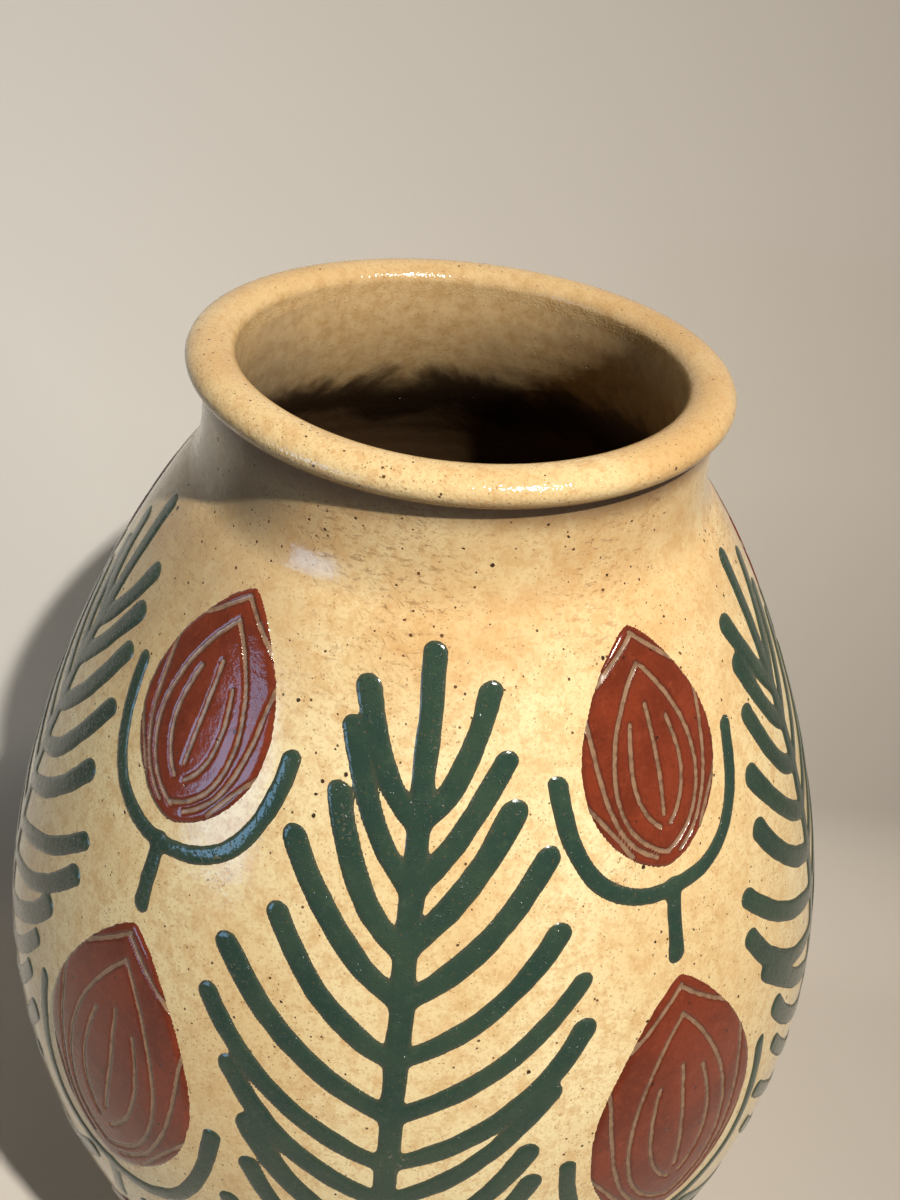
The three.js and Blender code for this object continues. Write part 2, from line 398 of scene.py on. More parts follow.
def turned_section_tree():
    inputs = [("Steps", "Int", 256), ("Closed", "Int", 1), ("Glaze", "Material", None)]
    group, tree, given = new_geometry_group("Turned section", inputs)
    outline = given["Geometry"]
    count = tree.node("GeometryNodeAttributeDomainSize", None, {"Geometry": outline})["Point Count"]
    rows = count + given["Closed"]
    columns = given["Steps"] + 1
    sheet = tree.node("GeometryNodeMeshGrid", None, {"Vertices X": columns, "Vertices Y": rows})["Mesh"]
    index = tree.node("GeometryNodeInputIndex")[0]
    column = tree.math("FLOOR", (index + 0.5) / rows)
    row = index - column * rows
    row = row - count * (row > count - 0.5)
    place = tree.node("GeometryNodeInputPosition")[0]
    within = value_at(tree, outline, read_value(tree, "inside"), row)
    radius, _, height = tree.xyz(value_at(tree, outline, place, row, PLACE_TYPE))
    angle = column / given["Steps"] * (2 * math.pi)
    x = radius * tree.math("COSINE", angle)
    y = radius * tree.math("SINE", angle)
    marked = store_value(tree, sheet, "inside", within)
    turned = put_at(tree, marked, tree.join_xyz(x, y, height))
    finish_tree(tree, given, bend_by_hand(tree, welded(tree, turned)))
    return group


def finish_tree(tree, given, geometry):
    """Every tree ends alike: smooth faces, the finish, and nothing left as an instance."""
    smooth = tree.node("GeometryNodeSetShadeSmooth", None, {"Geometry": geometry})["Geometry"]
    real = tree.node("GeometryNodeRealizeInstances", None, {"Geometry": smooth})["Geometry"]
    sockets = {"Geometry": real, "Material": given["Glaze"]}
    glazed = tree.node("GeometryNodeSetMaterial", None, sockets)["Geometry"]
    tree.node("NodeGroupOutput", None, {"Geometry": glazed})


TURNED_SECTION = turned_section_tree()
print("nodes in the turning tree:", len(TURNED_SECTION.nodes))

# %% [markdown]
# ## From a tree to a plain mesh
#
# A tree needs something to work on. Here that is a drawing: a string of vertices with a few
# values written on them. The helper below puts it on an object for a moment, runs the tree,
# takes the evaluated result as an ordinary mesh and throws the rest away. A modifier's
# inputs are set by the sockets' identifiers, because two sockets may share a name.

# %% Draw, grow and measure


def link_object(name, data):
    made = bpy.data.objects.new(name, data)
    bpy.context.scene.collection.objects.link(made)
    return made


def drawn_mesh(name, points, attributes):
    """A string of vertices with values on them, for a tree to read. Points are in metres."""
    mesh = bpy.data.meshes.new(name)
    mesh.from_pydata(points, [], [])
    for label, (kind, values) in attributes.items():
        layer = mesh.attributes.new(label, kind, "POINT")
        layer.data.foreach_set("value", values)
    return mesh


def grow(name, mesh, group, values):
    """Runs a tree on a mesh and returns what it made as a plain object at the origin."""
    source = link_object(name + "_source", mesh)
    modifier = source.modifiers.new("tree", "NODES")
    modifier.node_group = group
    for item in group.interface.items_tree:
        if item.item_type == "SOCKET" and item.in_out == "INPUT" and item.name in values:
            modifier[item.identifier] = values[item.name]
    shown = source.evaluated_get(bpy.context.evaluated_depsgraph_get())
    result = bpy.data.meshes.new_from_object(shown)
    source.modifiers.remove(modifier)
    bpy.data.objects.remove(source)
    bpy.data.meshes.remove(mesh)
    result.name = name
    return link_object(name, result)


def volume_of(mesh):
    """The signed volume of a closed mesh: below zero if its faces point inwards."""
    mesh.calc_loop_triangles()
    spots = [v.co for v in mesh.vertices]
    total = 0.0
    for triangle in mesh.loop_triangles:
        a, b, c = (spots[i] for i in triangle.vertices)
        total += a.dot(b.cross(c))
    return total / 6


def face_outward(piece):
    if volume_of(piece.data) < 0:
        piece.data.flip_normals()


# %% [markdown]
# ## Glaze
#
# The cream glaze is lead-bright over buff clay. Up close it is far from plain: a haze of
# fine brown specks from iron in the clay, a few larger flecks, pits where a bubble burst,
# tan clouds where it ran thin, and rubbed brown dirt on the neck. Each of these is a mask,
# a number from 0 to 1 worked out from the object's own coordinates at its real size, and a
# colour that the mask lets through. Round specks come from a cell pattern: each cell keeps
# a spot near its middle, whose size is drawn from the cell's own random number, and most
# cells keep none.

# %% Colours, layers and speck patterns


def colour(text):
    """A web colour as the linear numbers that a shader wants."""
    parts = [int(text[i : i + 2], 16) / 255 for i in (0, 2, 4)]
    linear = [p / 12.92 if p <= 0.04045 else ((p + 0.055) / 1.055) ** 2.4 for p in parts]
    return (*linear, 1.0)


def painted(tree, base, *layers):
    """Lays colours over a base, the last one on top. A layer is a mask and a web colour."""
    for mask, tone in layers:
        base = tree.mix(mask, base, colour(tone))
    return base


def new_finish(name):
    """A material with an empty tree, its Tree and its object coordinates."""
    material = bpy.data.materials.new(name)
    material.use_nodes = True
    material.node_tree.nodes.clear()
    tree = Tree(material.node_tree)
    place = tree.node("ShaderNodeTexCoord")["Object"]
    return material, tree, place


def carried(tree, name):
    """A value that each point of the mesh carries, for a finish to read."""
    return tree.node("ShaderNodeAttribute", {"attribute_name": name})["Fac"]


def specks(tree, place, cell, largest, share, seed, ragged=0.25):
    """A mask of round spots. Sizes are in metres; share is how many cells hold a spot."""
    shake = tree.noise(place, 0.6 / largest, detail=2.0, seed=seed) - 0.5
    shifted = tree.vector("ADD", place, (seed * 0.013, seed * 0.029, -seed * 0.017))["Vector"]
    sockets = {"Vector": shifted, "Scale": 1 / cell, "Randomness": 1.0}
    cells = tree.node("ShaderNodeTexVoronoi", {"voronoi_dimensions": "3D", "feature": "F1"}, sockets)
    chance, size, _ = tree.xyz(cells["Color"])
    reach = cells["Distance"] * cell + shake * (largest * ragged)
    radius = largest * (0.4 + 0.6 * size) * (chance < share)
    soft_edge = largest * 0.16
    return tree.clip((radius - reach) / soft_edge)


def bumped(tree, height, depth):
    """A Bump node: height from 0 to 1 stands for depth metres."""
    return tree.node("ShaderNodeBump", None, {"Strength": 1.0, "Distance": depth, "Height": height})[0]


GLASS_IOR = 1.52


def close_finish(tree, base, roughness, bump):
    """The shader itself: every finish here is glass or clay, so one form serves."""
    sockets = {"Base Color": base, "Roughness": roughness, "IOR": GLASS_IOR, "Normal": bump}
    shader = tree.node("ShaderNodeBsdfPrincipled", None, sockets)
    tree.node("ShaderNodeOutputMaterial", None, {"Surface": shader["BSDF"]})


print("the palest cream as linear numbers:", [round(c, 3) for c in colour("f7e3b0")[:3]])

# %% [markdown]
# ## Dirt, painted shade, knocks and the inside
#
# An old pot has been handled. Hands leave a tan haze round the neck and fine scratches that
# slant across it, and knocks leave small clusters of brown chips. The crease under the rim is
# darkened partly by dirt and partly by painted shade. Painted shade also darkens the left of
# the neck, over a real smear, and the left of the shoulder, on the side away from the lamp.
# Inside, the glaze thins out to a ragged brown tide line over bare clay.
# Noise that is read at squeezed coordinates gives long thin marks instead of round ones.

# %% Masks that belong to certain places on the pot

NECK_RADIUS = 0.055
MOUTH_PALE, MOUTH_TAN = "dfbe8b", "c49d68"
DIRT_STARTS, DIRT_FULL = 0.232, 0.262  # heights in metres, as are all the others below
# Heights of the painted shade on the left of the neck, which lies over a real smear there.
NECK_SHADE_STARTS, NECK_SHADE_FULL = 0.258, 0.2695
# Heights of the painted shade on the left of the shoulder.
SHOULDER_SHADE_STARTS, SHOULDER_SHADE_FULL = 0.205, 0.25
CREASE_STARTS, CREASE_FULL = 0.2735, 0.2805
GLAZE_ENDS, CLAY_BARE, TIDE_TOP, TIDE_LOW, TIDE_FOOT = 0.262, 0.25, 0.254, 0.247, 0.24


def stained_and_shaded(tree, place, base):
    """Dirt rubbed into the neck: a tan haze and scratches. Painted shade darkens the neck's left,
    over a real smear, and the shoulder's left, and joins dirt in the crease under the rim.
    """
    x, y, z = tree.xyz(place)
    angle = tree.math("ARCTAN2", x, -y)
    round_wall = angle * NECK_RADIUS
    haze = tree.noise(place, 34.0, detail=4.0, rough=0.6, seed=4.0)
    patches = tree.noise(place, 36.0, detail=3.0, seed=6.0)
    near_neck = tree.ramp(z, DIRT_STARTS, DIRT_FULL)
    level = tree.join_xyz(round_wall * 0.3, z, 0.0)
    rubbed = tree.noise(level, 1100.0, detail=4.0, rough=0.7, seed=5.0)
    scuffs = tree.ramp(rubbed, 0.53, 0.62) * (tree.ramp(patches, 0.42, 0.62) * near_neck)
    along = round_wall * 0.8 + z + (patches - 0.5) * 0.02
    slant = tree.join_xyz((round_wall - z) * 0.16, along, 0.3)
    scratched = tree.noise(slant, 1500.0, detail=4.0, rough=0.75, seed=15.0)
    left_front = tree.ramp(tree.math("ABSOLUTE", angle + 0.45), 0.75, 0.3)
    scratches = tree.ramp(scratched, 0.58, 0.64) * left_front
    scratches = scratches * tree.ramp(patches, 0.44, 0.56) * near_neck
    # The left side, away from the lamp, where shade is painted below.
    left = tree.ramp(tree.math("ABSOLUTE", angle + 1.05 + (haze - 0.5) * 0.8), 0.75, 0.25)
    # Partly a real smear, partly painted shade: the neck's left, away from the lamp, made darker.
    left_neck_smear_and_shade = left * tree.ramp(z, NECK_SHADE_STARTS, NECK_SHADE_FULL) * tree.ramp(haze, 0.2, 0.55)
    # Painted shade: the shoulder's left, away from the lamp, made darker.
    left_shoulder_shade = left * tree.ramp(z, SHOULDER_SHADE_STARTS, SHOULDER_SHADE_FULL) * tree.ramp(haze, 0.25, 0.6)
    # Partly dirt, partly painted shade: the crease under the roll is made darker.
    crease = tree.ramp(z + (haze - 0.5) * 0.004, CREASE_STARTS, CREASE_FULL)
    base = painted(
        tree,
        base,
        (near_neck * (0.1 + 0.6 * tree.ramp(haze, 0.3, 0.7)), "cf9f63"),
        (scuffs * 0.55, "8a5a30"),
        (scratches * 0.7, "5c3012"),
        # painted shade over a real smear, on the left of the neck
        (left_neck_smear_and_shade * 0.5, "5d5145"),
        # painted shade on the left of the shoulder
        (left_shoulder_shade * 0.35, "948670"),
        # painted shade with dirt, in the crease under the rim
        (crease * 0.85, "6b4c33"),
    )
    return base, scuffs


def knocks(tree, place):
    """Clusters of small brown chips where the glaze was knocked."""
    clusters = specks(tree, place, 0.019, 0.0055, 0.5, 9.0, ragged=0.9)
    crumbs = tree.noise(place, 1100.0, detail=3.0, rough=0.7, seed=10.0)
    return clusters * tree.ramp(crumbs, 0.56, 0.64)


def inner_glaze(tree, place, mottle, fine):
    """Inside: tan by the mouth, then a ragged brown tide line and bare dark clay below."""
    _, _, z = tree.xyz(place)
    drips = tree.noise(place, 42.0, detail=5.0, rough=0.62, seed=7.0, warp=0.6)
    clouds = tree.noise(place, 30.0, detail=3.0, seed=8.0)
    level = z + (drips - 0.5) * 0.03
    tide = tree.ramp(level, GLAZE_ENDS, TIDE_TOP) * tree.ramp(level, TIDE_FOOT, TIDE_LOW)
    inner = tree.mix(tree.ramp(mottle, 0.35, 0.7), colour(MOUTH_PALE), colour(MOUTH_TAN))
    return painted(
        tree,
        inner,
        (tree.ramp(clouds, 0.4, 0.7) * 0.4, "a1937c"),
        (fine * 0.5, "5c3d20"),
        (tree.ramp(level, GLAZE_ENDS, CLAY_BARE) * 0.9, "5c4028"),
        (tide * 0.8, "24170d"),
    )


print("dirt from", DIRT_STARTS, "m up; the inside is bare clay below", CLAY_BARE, "m")

# %% [markdown]
# ## The cream glaze
#
# One material covers the lower wall, the shoulder and the neck, inside and out. The outline
# carried a value that says which face is the inner one, and that value mixes the two looks.
# The gloss isn't even either: pits and scuffs are duller, and a slow ripple with a fine
# orange-peel grain bends the reflections, as it does on any glaze that ran and set.

# %% The cream glaze


def clay_noise(tree, place):
    """Two noises that the wall and the rim share, so that the glaze runs on over the joint."""
    mottle = tree.noise(place, 300.0, detail=6.0, rough=0.75, seed=2.0)
    grain = tree.noise(place, 1300.0, detail=3.0, rough=0.7, seed=3.0)
    return mottle, grain


def cream_glaze():
    material, tree, place = new_finish("cream_glaze")
    mottle, grain = clay_noise(tree, place)
    clouds = tree.noise(place, 26.0, detail=3.0, seed=1.0)
    flocks = tree.noise(place, 60.0, detail=2.0, seed=16.0)
    blotch = tree.noise(place, 160.0, detail=5.0, rough=0.7, seed=17.0)
    base = tree.mix(tree.ramp(clouds, 0.38, 0.68), colour("f7e3b0"), colour("eccf98"))
    base = painted(
        tree,
        base,
        (tree.ramp(blotch, 0.48, 0.62) * 0.4, "dfb37a"),
        (tree.ramp(mottle, 0.47, 0.6) * 0.5, "d6ab70"),
        (tree.ramp(grain, 0.5, 0.64) * 0.4, "c6935a"),
    )
    base, scuffs = stained_and_shaded(tree, place, base)
    fine = specks(tree, place, 0.00078, 0.00021, tree.ramp(flocks, 0.3, 0.8), 11.0, ragged=0.8)
    middling = specks(tree, place, 0.0017, 0.00034, tree.ramp(flocks, 0.25, 1.0), 12.0, ragged=1.0)
    pits = specks(tree, place, 0.0044, 0.0005, 0.4, 13.0, ragged=1.5)
    base = painted(
        tree,
        base,
        (fine * 0.6, "7c4a22"),
        (middling * 0.9, "4d2409"),
        (pits * 0.97, "2c1204"),
        (knocks(tree, place) * 0.75, "7d5c3f"),
    )
    within = carried(tree, "inside")
    base = tree.mix(within, base, inner_glaze(tree, place, mottle, fine))
    roughness = 0.1 + 0.08 * tree.ramp(mottle, 0.4, 0.8) + 0.08 * pits + 0.25 * scuffs + 0.2 * within
    ripple = tree.noise(place, 380.0, detail=2.0, seed=21.0) * 0.35 + grain * 0.16
    ripple = ripple + tree.noise(place, 70.0, detail=2.0, seed=22.0) * 0.9
    height = ripple - pits * 2.0 - middling * 0.4
    close_finish(tree, base, roughness, bumped(tree, height, 0.00016))
    return material


CREAM_GLAZE = cream_glaze()
print("nodes in the cream glaze:", len(CREAM_GLAZE.node_tree.nodes))

# %% [markdown]
# ## The rim's glaze and the bare foot
#
# Glaze runs off a rim while it melts, so it is thinner and tanner there, and hands have
# freckled and polished it. A fine bump breaks the lamp's reflection on the roll into a row
# of sparkles. Where the roll turns into the mouth, its colours become those of the inner
# wall. The foot was wiped clean before the firing, so it is plain sandy clay.

# %% The rim's glaze and the bare foot

# Heights and radii of the painted shade, with some dirt, on the roll's underside.
ROLL_TOP, ROLL_UNDER = 0.284, 0.2812  # heights in metres
OUTSIDE_STARTS, OUTSIDE_FULL = 0.0495, 0.0515  # distances from the axis, in metres
MOUTH_STARTS, MOUTH_FULL = 0.0482, 0.0455


def rim_glaze():
    """The roll over the mouth: handled, thinner, tanner and freckled all over, with painted
    shade under it and towards the back.
    """
    material, tree, place = new_finish("rim_glaze")
    x, y, z = tree.xyz(place)
    radius = tree.math("SQRT", x * x + y * y)
    mottle, grain = clay_noise(tree, place)
    clouds = tree.noise(place, 30.0, detail=3.0, seed=31.0)
    flocks = tree.noise(place, 85.0, detail=2.0, seed=32.0)
    # Painted shade with some dirt: the roll's underside, where the lamp doesn't reach, made darker.
    under = tree.ramp(z, ROLL_TOP, ROLL_UNDER) * tree.ramp(radius, OUTSIDE_STARTS, OUTSIDE_FULL)
    fine = specks(tree, place, 0.00072, 0.00021, tree.ramp(flocks, 0.25, 0.75), 11.0, ragged=0.8)
    middling = specks(tree, place, 0.0017, 0.00034, tree.ramp(flocks, 0.25, 1.0), 14.0, ragged=1.0)
    base = tree.mix(tree.ramp(clouds, 0.35, 0.7), colour("e8cd98"), colour("d3ad75"))
    base = painted(
        tree,
        base,
        (tree.ramp(mottle, 0.47, 0.6) * 0.5, "cda068"),
        (tree.ramp(grain, 0.5, 0.64) * 0.4, "be8d55"),
        # painted shade: the roll darker towards the back, away from the lamp
        (tree.ramp(y + (clouds - 0.5) * 0.06, -0.03, 0.05) * 0.45, "c79d66"),
        # painted shade with some dirt, under the roll
        (under * 0.8, "755436"),
        (fine * 0.6, "70451f"),
        (middling * 0.9, "42200a"),
    )
    mouth = tree.mix(tree.ramp(mottle, 0.35, 0.7), colour(MOUTH_PALE), colour(MOUTH_TAN))
    base = tree.mix(tree.ramp(radius, MOUTH_STARTS, MOUTH_FULL) * 0.8, base, mouth)
    roughness = 0.12 + 0.1 * tree.ramp(mottle, 0.4, 0.8)
    height = tree.noise(place, 620.0, detail=2.0, seed=23.0) * 0.4
    height = height + tree.noise(place, 1700.0, detail=1.0, seed=25.0) * 0.55
    height = height + tree.noise(place, 90.0, seed=24.0) * 0.8 - middling * 0.5
    close_finish(tree, base, roughness, bumped(tree, height, 0.00022))
    return material


def bare_clay():
    """The foot: unglazed, sandy and worn darker along its edge."""
    material, tree, place = new_finish("bare_clay")
    _, _, z = tree.xyz(place)
    sand = tree.noise(place, 900.0, detail=4.0, rough=0.7, seed=41.0)
    clouds = tree.noise(place, 40.0, detail=3.0, seed=42.0)
    grit = specks(tree, place, 0.0016, 0.0004, 0.6, 43.0, ragged=0.6)
    base = tree.mix(tree.ramp(clouds, 0.35, 0.7), colour("c39a6a"), colour("a87a4b"))
    base = painted(
        tree,
        base,
        (tree.ramp(sand, 0.5, 0.8) * 0.6, "8a6038"),
        (tree.ramp(z, 0.0022, 0.0004) * 0.5, "84664a"),
        (grit * 0.7, "5c3c22"),
    )
    height = sand * 0.8 - grit * 0.6
    close_finish(tree, base, 0.78 + 0.12 * sand, bumped(tree, height, 0.0002))
    return material


RIM_GLAZE = rim_glaze()
BARE_CLAY = bare_clay()
print("nodes in the rim's glaze and the clay:", [len(m.node_tree.nodes) for m in (RIM_GLAZE, BARE_CLAY)])

# %% [markdown]
# ## The thrown sections
#
# Five sections stand on each other, as on the potter's board. Each is a closed solid of its
# own, and where two meet they share the same ring, so the glaze runs over the joint unseen.
# Each is written as an outer and an inner outline, both from the bottom up. The inner one
# is the outer one moved in by the wall's thickness, but it runs on more smoothly than the
# outside does, because a potter's fingers don't turn corners.

# %% Turn one section


SHARP_FROM = 40  # degrees: a sharper bend between two faces is left as a crease
FOOT_RING_WIDTH, FOOT_EDGE = 9.0, 1.5
FLOOR_THICKNESS = 9.0
THROAT_DEPTH, THROAT_LEAN, MOUTH_DEPTH = 28, 14, 20  # these and the lengths above are in mm
ROLL_STEPS = 44


def inward(points, distance):
    """The path at a distance inside another, for the inner face of a wall."""
    shifted = []
    for i, point in enumerate(points):
        ahead = points[min(i + 1, len(points) - 1)] - points[max(i - 1, 0)]
        ahead.normalize()
        shifted.append(Vector((point.x - ahead.y * distance, point.y + ahead.x * distance)))
    return shifted


def turn(name, outer, inner, node, glaze, closed=True):
    """Turns one section from its outer and inner outline, both from the bottom up."""
    outline = [*outer, *reversed(inner)]
    inside = [0.0] * len(outer) + [1.0] * len(inner)
    points = [(p.x * MM, 0.0, p.y * MM) for p in outline]
    mesh = drawn_mesh(name, points, {"inside": ("FLOAT", inside)})
    piece = grow(name, mesh, TURNED_SECTION, {"Closed": int(closed), "Glaze": glaze})
    face_outward(piece)
    piece.data.set_sharp_from_angle(angle=math.radians(SHARP_FROM))
    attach(piece, "root")
    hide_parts(node)
    print(name, "faces:", len(piece.data.polygons))
    return piece


def straight(a, b, spacing=ROW):
    return evenly([Vector(a), Vector(b)], spacing)


# %% The foot ring and the lower body


def turn_foot():
    inside, edge = FOOT_RADIUS - FOOT_RING_WIDTH, FOOT_EDGE
    angles = [math.pi / 2 * i / 8 for i in range(9)]
    middle = Vector((FOOT_RADIUS - edge, edge))
    round_edge = [middle + Vector((edge * math.sin(a), -edge * math.cos(a))) for a in angles]
    outer = [*straight((inside + 1, 0), round_edge[0], 1.5)[:-1], *round_edge]
    outer += straight(round_edge[-1], (FOOT_RADIUS, FOOT_TOP), 0.8)[1:]
    inner = [Vector((inside, 1.0)), *straight((inside, 2.0), (inside, FOOT_TOP), 1.0)]
    return turn("foot", outer, inner, "foot_ring", BARE_CLAY)


def turn_lower_body():
    """The wall up to the widest ring, and the floor, which bends up into it inside."""
    floor_top = FOOT_TOP + FLOOR_THICKNESS
    inner = inward(lower_wall, WALL)
    inner[-1].y = BELLY.y
    corner = next(i for i, p in enumerate(inner) if p.y > floor_top + WALL)
    floor_edge = Vector((inner[corner].x - WALL, floor_top))
    bend = smooth_path([floor_edge, Vector((inner[corner].x - 1.0, floor_top)), inner[corner]], 0.9)
    floor = straight((0, floor_top), floor_edge, 2.0)
    under = straight((0, FOOT_TOP), lower_wall[0], 2.0)
    outer = [*under[:-1], *lower_wall]
    inner = [*floor[:-1], *bend[:-1], *inner[corner:]]
    return turn("lower_wall", outer, inner, "lower_body", CREAM_GLAZE, closed=False)


thrown = [turn_foot(), turn_lower_body()]

# %% The shoulder, the neck and the rim

NECK_TOP = Vector((NECK_TOP_RADIUS, round(rim_low.z, 2)))
MOUTH_RADIUS = ROLL_RADIUS - ROLL_WIDTH / 2 + 0.1


def throat():
    """The inner face from deep in the shoulder to the mouth, as one smooth curve."""
    inner = inward(upper_wall, WALL)
    start = next(i for i, p in enumerate(inner) if p.y > NECK_START.y - THROAT_DEPTH)
    along = (inner[start + 1] - inner[start]).normalized()
    low, top = inner[start], Vector((MOUTH_RADIUS, NECK_TOP.y))
    above = Vector((MOUTH_RADIUS + 0.2, top.y - MOUTH_DEPTH))
    curve = smooth_path([low, low + along * THROAT_LEAN, above, top], 0.9)
    path = [*inner[:start], *curve]
    path[0] = Vector((path[0].x, BELLY.y))
    return path


def split_at(path, height):
    """Cuts a rising path in two at a height; both halves get the point at the cut."""
    i = next(i for i, p in enumerate(path) if p.y > height)
    cut = path[i - 1].lerp(path[i], (height - path[i - 1].y) / (path[i].y - path[i - 1].y))
    return [*path[:i], cut], [cut, *path[i:]]


def turn_shoulder():
    inner, _ = split_at(throat(), NECK_START.y)
    return turn("shoulder", upper_wall, inner, "upper_body", CREAM_GLAZE)


def turn_neck():
    quarter = (NECK_TOP.y - NECK_START.y) / 4
    controls = [NECK_START, Vector((NECK_TOP_RADIUS - NECK_HOLLOW, NECK_START.y + quarter)), NECK_TOP]
    outer = smooth_path(controls, 0.7)
    _, inner = split_at(throat(), NECK_START.y)
    return turn("neck", outer, inner, "neck_collar", CREAM_GLAZE)


def turn_rim():
    middle = Vector((ROLL_RADIUS, MOUTH_HEIGHT - ROLL_HEIGHT / 2))
    seat = -math.asin((middle.y - NECK_TOP.y) / (ROLL_HEIGHT / 2))
    outer = [NECK_TOP]
    for i in range(ROLL_STEPS + 1):
        angle = seat + (math.pi - seat) * i / ROLL_STEPS
        outer.append(middle + Vector((math.cos(angle) * ROLL_WIDTH, math.sin(angle) * ROLL_HEIGHT)) / 2)
    mouth = Vector((MOUTH_RADIUS, NECK_TOP.y))
    inner = [mouth, *reversed(straight(outer[-1], mouth, 0.6)[1:-1])]
    return turn("rolled_rim", outer, inner, "rim_roll", RIM_GLAZE)


thrown += [turn_shoulder(), turn_neck(), turn_rim()]
print("clay in the thrown sections, cm3:", round(sum(volume_of(p.data) for p in thrown) * 1e6))

# %% [markdown]
# ## The ornament, drawn flat
#
# A slip trailer is a bag with a nozzle. It leaves a bead of liquid clay: as wide as the hand
# is slow, round at its free end, and run together with its neighbour where two beads touch.
# So a frond is written down as strokes: a middle line, and half the width at each point of
# it. Distances are in millimetres across and along the wall, counted from the widest ring.
# The rules for reach and rise are the frame's own, so each drawing covers its node. On top
# comes what a hand adds: no two strokes are equally long, wide or bent.

# %% Where things lie along the wall

COLUMNS = 5
BARE_ABOVE, BARE_BELOW = 5, 27
STEM_WIDTH, STROKE_WIDTH, LEAF_WIDTH = 4.6, 4.8, 3.6
FIRST_STROKE, LAST_STROKE, STROKE_SPACING = 7, 20, 12
LONGEST_RISE, SHORTEST_RISE, TAPER_LENGTH = 26, 14, 50
BEND_OUT, BEND_UP = 0.62, 0.3
BUD_GAP = 3.2
BUD_SIZES = {"upper": (48, 32), "middle": (66, 44), "lower": (56, 36)}
BUD_BASE_FULLNESS, BUD_SIDE_FULLNESS = 0.8, 0.75
LEAF_TOP = 0.45  # share of the bud's height
PEN_STEP = 0.4  # millimetres between the points of a drawing

BAND_TOP = UPPER_LENGTH - BARE_ABOVE
BAND_BOTTOM = BARE_BELOW - LOWER_LENGTH
wall_path = [*smooth_path(lower_controls, 0.25), *smooth_path(upper_controls, 0.25)[1:]]


def wall_radius(along):
    """The wall's radius at a distance along it from the widest ring."""
    share = (along + LOWER_LENGTH) / (LOWER_LENGTH + UPPER_LENGTH) * (len(wall_path) - 1)
    low = min(max(int(share), 0), len(wall_path) - 2)
    return wall_path[low].lerp(wall_path[low + 1], share - low).x


def place_buds():
    """Each bud's name, height, width and middle, and the space that its stalk has."""
    heights = sum(height for height, _ in BUD_SIZES.values())
    space = (BAND_TOP - BAND_BOTTOM - heights) / len(BUD_SIZES)
    placed, top = [], BAND_TOP
    for name, (height, width) in BUD_SIZES.items():
        placed.append((name, height, width, top - height / 2, space))
        top -= height + space
    return placed


BUDS = place_buds()


def bud_half_width(width, level):
    return width / 2 * math.sin(math.pi * level**BUD_BASE_FULLNESS) ** BUD_SIDE_FULLNESS


def reach_at(along):
    """How far out from its stem a stroke may go before it meets a bud or a leaf."""
    taken = LEAF_WIDTH / 2
    for _, height, width, middle, _ in BUDS:
        level = (along - middle) / height + 0.5
        margin = (BUD_GAP + STROKE_WIDTH) / height
        if -margin < level < 1 + margin:
            inside = min(max(level, 0.2), 0.9)
            taken = max(taken, bud_half_width(width, inside) + BUD_GAP + LEAF_WIDTH)
    return math.pi / COLUMNS * wall_radius(along) - taken - BUD_GAP - STROKE_WIDTH / 2


print("the ornament runs from", round(BAND_BOTTOM, 1), "to", round(BAND_TOP, 1), "mm along the wall")
print("space under each bud for its stalk:", round(BUDS[0][4], 1), "mm")

# %% [markdown]
# ## Strokes and fields
#
# A stroke is a soft curve through three or four places, and each step along it also keeps
# half the stroke's width, fuller at the tip, where the hand stops. A bud is one closed edge
# and a set of lines that a fine tool cut through the slip. All of it becomes meshes that
# are nothing but vertices with values on them, because the trees that follow only ask which
# vertex is nearest and what it carries.

# %% Strokes


def ease(value, start, end):
    share = min(max((value - start) / (end - start), 0), 1)
    return share * share * (3 - 2 * share)


def trail(controls, width, swell=1.0, root=1.0):
    """One stroke: points across and along, each with half the stroke's width there."""
    line = smooth_path([Vector(c) for c in controls], PEN_STEP, 60)
    marks = []
    for i, point in enumerate(line):
        share = i / (len(line) - 1)
        fullness = 1 + (root - 1) * (1 - ease(share, 0, 0.3)) + (swell - 1) * ease(share, 0.6, 1)
        marks.append((point.x, point.y, width / 2 * fullness))
    return marks


def frond_strokes(seed):
    """A stem, and pairs of strokes that spring from it and curve upward."""
    hand = random.Random(seed)
    sway = [hand.uniform(-0.8, 0.8) for _ in range(2)]
    third = (BAND_TOP - BAND_BOTTOM) / 3
    stem = [(0, BAND_BOTTOM + 2.3), (sway[0], BAND_BOTTOM + third)]
    stem += [(sway[1], BAND_TOP - third), (0, BAND_TOP - 1.5)]
    strokes = [trail(stem, STEM_WIDTH, swell=0.96, root=0.92)]
    start = BAND_BOTTOM + FIRST_STROKE
    while start <= BAND_TOP - LAST_STROKE:
        taper = min((BAND_TOP - start) / TAPER_LENGTH, 1)
        rise = SHORTEST_RISE + (LONGEST_RISE - SHORTEST_RISE) * taper
        reach = reach_at(start + rise) * taper
        for side in (-1, 1):
            root_at = start + hand.uniform(-1.3, 1.3)
            tip_x = side * (reach + hand.uniform(-3.0, 0.5))
            tip_y = start + rise + hand.uniform(-2.2, 1.8)
            bend_x = side * reach * (BEND_OUT + hand.uniform(-0.08, 0.08))
            bend_y = start + rise * (BEND_UP + hand.uniform(-0.1, 0.08))
            curve = [(side * 1.0, root_at - 0.5), (bend_x, bend_y), (tip_x, tip_y)]
            width = STROKE_WIDTH * hand.uniform(0.88, 1.05)
            strokes.append(trail(curve, width, swell=hand.uniform(0.98, 1.2), root=0.88))
        start += STROKE_SPACING
    return strokes


